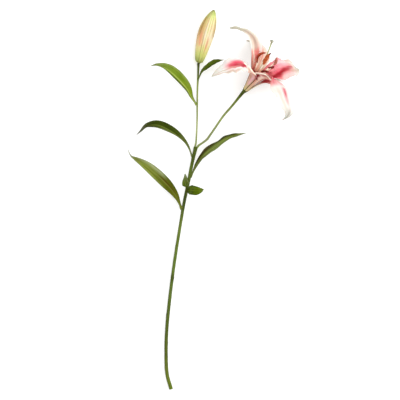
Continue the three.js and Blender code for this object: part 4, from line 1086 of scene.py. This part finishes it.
def stamen(number, shape, filament_flesh, pollen):
    """A filament from the ring under the ovary, and the anther that hangs on its tip."""
    spine = Spine(shape)
    goal, level = spine.at([0.5])[0], spine.along([0.5])[0]
    ring = np.array(round_axis(FILAMENT["ring"], 0.4, shape["turn"]))
    low = np.array(round_axis(*FILAMENT["rise"], shape["turn"]))
    inwards = unit(np.array([-goal[0], -goal[1], 0]))
    high = (low + goal) / 2 + inwards * FILAMENT["lean"]
    towards = goal - high
    towards = unit(towards - level * (towards @ level))
    end = goal - towards * (0.375 * ANTHER_DEPTH - 0.2)
    path = Path(rooted([ring, low, high, end], 0.6))
    made = tube(path, FILAMENT["width"], 70, 14,
                lambda T, A, R: (R * (1.35 + 0.16 * np.cos(2 * A)), 0 * T))
    piece(f"filament_{number}", *in_flower(made), filament_flesh, "filament")
    grain = np.random.default_rng(20 + number)

    def section(T, A, R):
        swell = np.sqrt(np.clip(1 - np.abs(2 * T - 1) ** 2.6, 0.004, 1))
        across, deep = np.cos(A), np.sin(A)
        lobes = (1 - 0.34 * np.abs(deep) ** 4) * (1 - 0.1 * np.abs(across) ** 16)
        oval = 1 / np.sqrt((across / shape["width"]) ** 2 + (deep / ANTHER_DEPTH) ** 2) / 2
        return 1.16 * swell * lobes * oval + grain.normal(0, 0.06, T.shape) * swell, 0 * T

    hint = np.cross(towards, level)
    made = tube(spine, {0: 1, 100: 1}, 70, 36, section, hint=hint)
    piece(f"anther_{number}", *in_flower(made), pollen, "anther")


# Painted shade: the filaments are dark crimson low down, in the shadow inside the throat, and
# cream higher up.
flesh = fleshy_material("filament", {
    0: 0xC4B478, 25: 0xAA3C3C, 46: 0x961422, 56: 0xAA282E, 64: 0xFCC8A6, 72: (0.99, 0.91, 0.74),
    100: (0.99, 0.86, 0.68)}, 0xF4B288, 0.3)
# Each anther's colours, dark and light, and how much of it is dark. Anthers 3 and 6 are made
# darker as painted shade: 3 lies low in the throat under the lip, 6 behind anther 2.
POLLEN = [(0x8C220E, 0xDA603A, 0.44), (0xA43E16, 0xFA9660, 0.36), (0x601612, 0xA43428, 0.5),
          (0x963636, 0xCE645C, 0.45), (0x924236, 0xDE8E78, 0.42), (0x461A0E, 0x8C4224, 0.5)]
for number, (shape, grains) in enumerate(zip(STAMENS, POLLEN), 1):
    stamen(number, shape, flesh, pollen_material(number, *grains))


# ---- Closed bud -----------------------------------------------------------------------
def bud_piece(node, turn, half_span, inner, material):
    """A petal of the bud: an outer one overlaps the tucked margins of the inner ones."""
    foot, tip = BUD["foot"], BUD["tip"]
    along = unit(tip - foot)
    across = unit(np.cross(along, UP))
    face = np.cross(across, along)

    def skin(T, S, side):
        size = np.abs(S)
        angle = np.radians(turn + half_span * S)
        R = value_at(BUD["width"], T) / 2
        ridge = (BUD["inner_ridge"] if inner else BUD["ridge"]) * np.sqrt(T * (1 - T))
        r = R + ridge * np.cos(math.pi * S / 2) ** 2 - 0.25 * ridge * hump(size, 0.14, 0.06)
        tuck = np.minimum(1.3, 0.2 * R)
        if inner:
            r = r - tuck * smooth(size, 0.42, 0.57)
        else:
            r = r + 0.1 * hump(size, 0.9, 0.06) - 0.35 * tuck * smooth(size, 0.93, 1.0) ** 2
        r = r + 0.07 * np.sin(9 * S + 6 * T + turn) * np.minimum(1, R / 6)
        wall = np.minimum(1.3, 0.28 * R) * (1 - 0.55 * size ** 4)
        r = np.where(side > 0, r, r - wall)
        middle = foot + (tip - foot) * T[..., None]
        middle = middle - across * BUD["bow"] * np.sin(math.pi * T)[..., None]
        return middle + turned(across, face, angle) * r[..., None]

    piece(node, *sheet(*BUD_GRID, skin), material, "bud")


BUD_GROUND = {0: 0xA0AA4A, 5: 0xBAC468, 14: 0xDEE280, 25: 0xF0E896, 36: 0xFEF0BC, 50: 0xFFF2CC,
              66: 0xFEECB8, 76: 0xFCF4B6, 86: 0xEEF6A0, 94: 0xC8DA7A, 100: 0x707C3A}
BUD_KEEL = {0: 60, 100: 70}
SALMON = 0xF6A07C


def bud_material(name, look):
    """A bud's petal: green at both ends, cream between, with blushes, a keel and streaks, and on
    one petal painted shade along the bud's outline.
    """
    m = Shader("bud_" + name, 0.5, 0.22, **PETAL_SKIN)
    streak = m.noise(1, 3, (2.4, 12), look["seed"])
    colour = m.bands(m.ramp(look.get("ground", BUD_GROUND)), look["bands"], streak)
    dashes = m.step(m.noise(1, 2, (3.5, 16), look["seed"] + 3), 0.5, 0.72)
    colour = m.lay(colour, 0xF0C096, dashes, m.shares({10: 0, 30: 40, 70: 40, 85: 0}))
    colour = m.bands(colour, [(0xC4D074, look.get("keel", BUD_KEEL), 0, 16)], streak, 0.5)
    colour = m.lay(colour, 0xD8A67A, m.stripes(12, 0.05, 2), 0.16)
    height = m.math("MULTIPLY_ADD", m.stripes(12, 0.05, 1), 0.5, streak)
    height = m.math("MULTIPLY_ADD", m.noise(900, 3), 0.5, height)
    return m.finish(colour, height, 0.00025, 0.8)


BUD_LOOKS = {
    "bud_outer_1": dict(
        seed=1.1, keel={0: 50, 40: 20, 90: 50},
        bands=[
            (0xB08C58, {44: 0, 56: 90, 80: 90, 92: 30}, -10, 100),
            (SALMON, {18: 0, 30: 80, 40: 50, 50: 0}, 95, 30),
            (0xA6AC60, {0: 80, 8: 80, 20: 0}, -30, 70)]),
    "bud_inner_1": dict(
        seed=2.3, keel={0: 60, 24: 90, 40: 50, 70: 70, 100: 60},
        bands=[
            (SALMON, {26: 0, 36: 50, 50: 0}, -45, 20),
            (0xFEF4D8, {34: 0, 45: 80, 70: 60, 80: 0}, 35, 20)]),
    "bud_outer_2": dict(
        seed=3.9, keel={0: 40, 30: 10, 90: 40},
        ground={0: 0x96A046, 5: 0xB0C066, 15: 0xD8E080, 25: 0xF6E89E, 35: 0xFCD49E, 45: 0xF0BE86,
                55: 0xE2BA7A, 66: 0xDABE70, 76: 0xD4C87A, 86: 0xC0C26E, 95: 0xB6C276,
                100: 0x6E7836},
        bands=[
            (0xF6DEAA, {30: 0, 50: 80, 80: 80, 95: 30}, -100, 40),
            (SALMON, {24: 0, 36: 80, 50: 60, 58: 0}, -50, 30),
            (0xB07A38, {42: 0, 56: 80, 78: 90, 90: 30}, -10, 35),
            # Painted shade: darker olive towards the bud's left outline, which turns away from the
            # light.
            (0xB0A85A, {0: 20, 20: 50, 60: 60, 90: 70}, 80, 60),
            (0x606426, {0: 50, 30: 80, 70: 90, 95: 80}, 100, 36)]),
    "bud_inner_2": dict(
        seed=4.7,
        bands=[
            (SALMON, {10: 0, 40: 50, 70: 0}, 40, 40),
            (0x968A4C, {0: 30, 30: 50, 90: 50}, -100, 50)]),
    "bud_outer_3": dict(seed=5.3, bands=[(0xCEA064, {30: 0, 60: 60, 90: 0}, 30, 50)]),
    "bud_inner_3": dict(seed=6.9, bands=[(SALMON, {10: 0, 40: 50, 70: 0}, -40, 40)]),
}
for number in range(3):
    turn = BUD["turn"] + 120 * number
    for kind, centre, half_span in (("outer", turn, 40), ("inner", turn + 60, 35)):
        node = f"bud_{kind}_{number + 1}"
        bud_piece(node, centre, half_span, kind == "inner", bud_material(node, BUD_LOOKS[node]))


# ---- Floor, lights and camera ---------------------------------------------------------
def floor():
    half = 4.0
    corners = [(x * half, y * half, 0) for x, y in ((-1, -1), (1, -1), (1, 1), (-1, 1))]
    mesh = bpy.data.meshes.new("floor")
    mesh.from_pydata(corners, [], [(0, 1, 2, 3)])
    paper = Shader("floor", 0.9, 0.1, Base_Color=(0.9, 0.9, 0.9, 1), Emission_Color=(1, 1, 1, 1),
                   Emission_Strength=0.18)
    mesh.materials.append(paper.material)
    add_object("floor", mesh)


def area_light(name, place, size, power):
    """A square soft light that looks at the middle of the flower."""
    data = bpy.data.lights.new(name, "AREA")
    data.size, data.energy = size, power
    light = add_object(name, data)
    light.location = place
    away = np.array(place) - np.array([0.0, 0.1, 0.03])
    light.rotation_euler = (math.atan2(math.hypot(away[0], away[1]), away[2]), 0,
                            math.atan2(away[0], -away[1]))


floor()
area_light("top", (0.25, 0.3, 2.7), 1.9, 42)
area_light("side", (1.3, 0.7, 1.1), 0.9, 13)

world = bpy.data.worlds.new("studio")
world.use_nodes = True
sky = world.node_tree.nodes["Background"].inputs
sky["Color"].default_value = (1, 1, 1, 1)
sky["Strength"].default_value = 0.7
bpy.context.scene.world = world
bpy.context.scene.view_settings.view_transform = "Standard"

# The photograph's view: straight down from 2.4 m, 0.64 m wide at the surface.
camera_data = bpy.data.cameras.new("camera")
camera_data.sensor_width, camera_data.lens, camera_data.clip_end = 36, 135, 20
camera = add_object("camera", camera_data)
camera.location = (-0.0219, -0.0003, 2.4)
bpy.context.scene.camera = camera
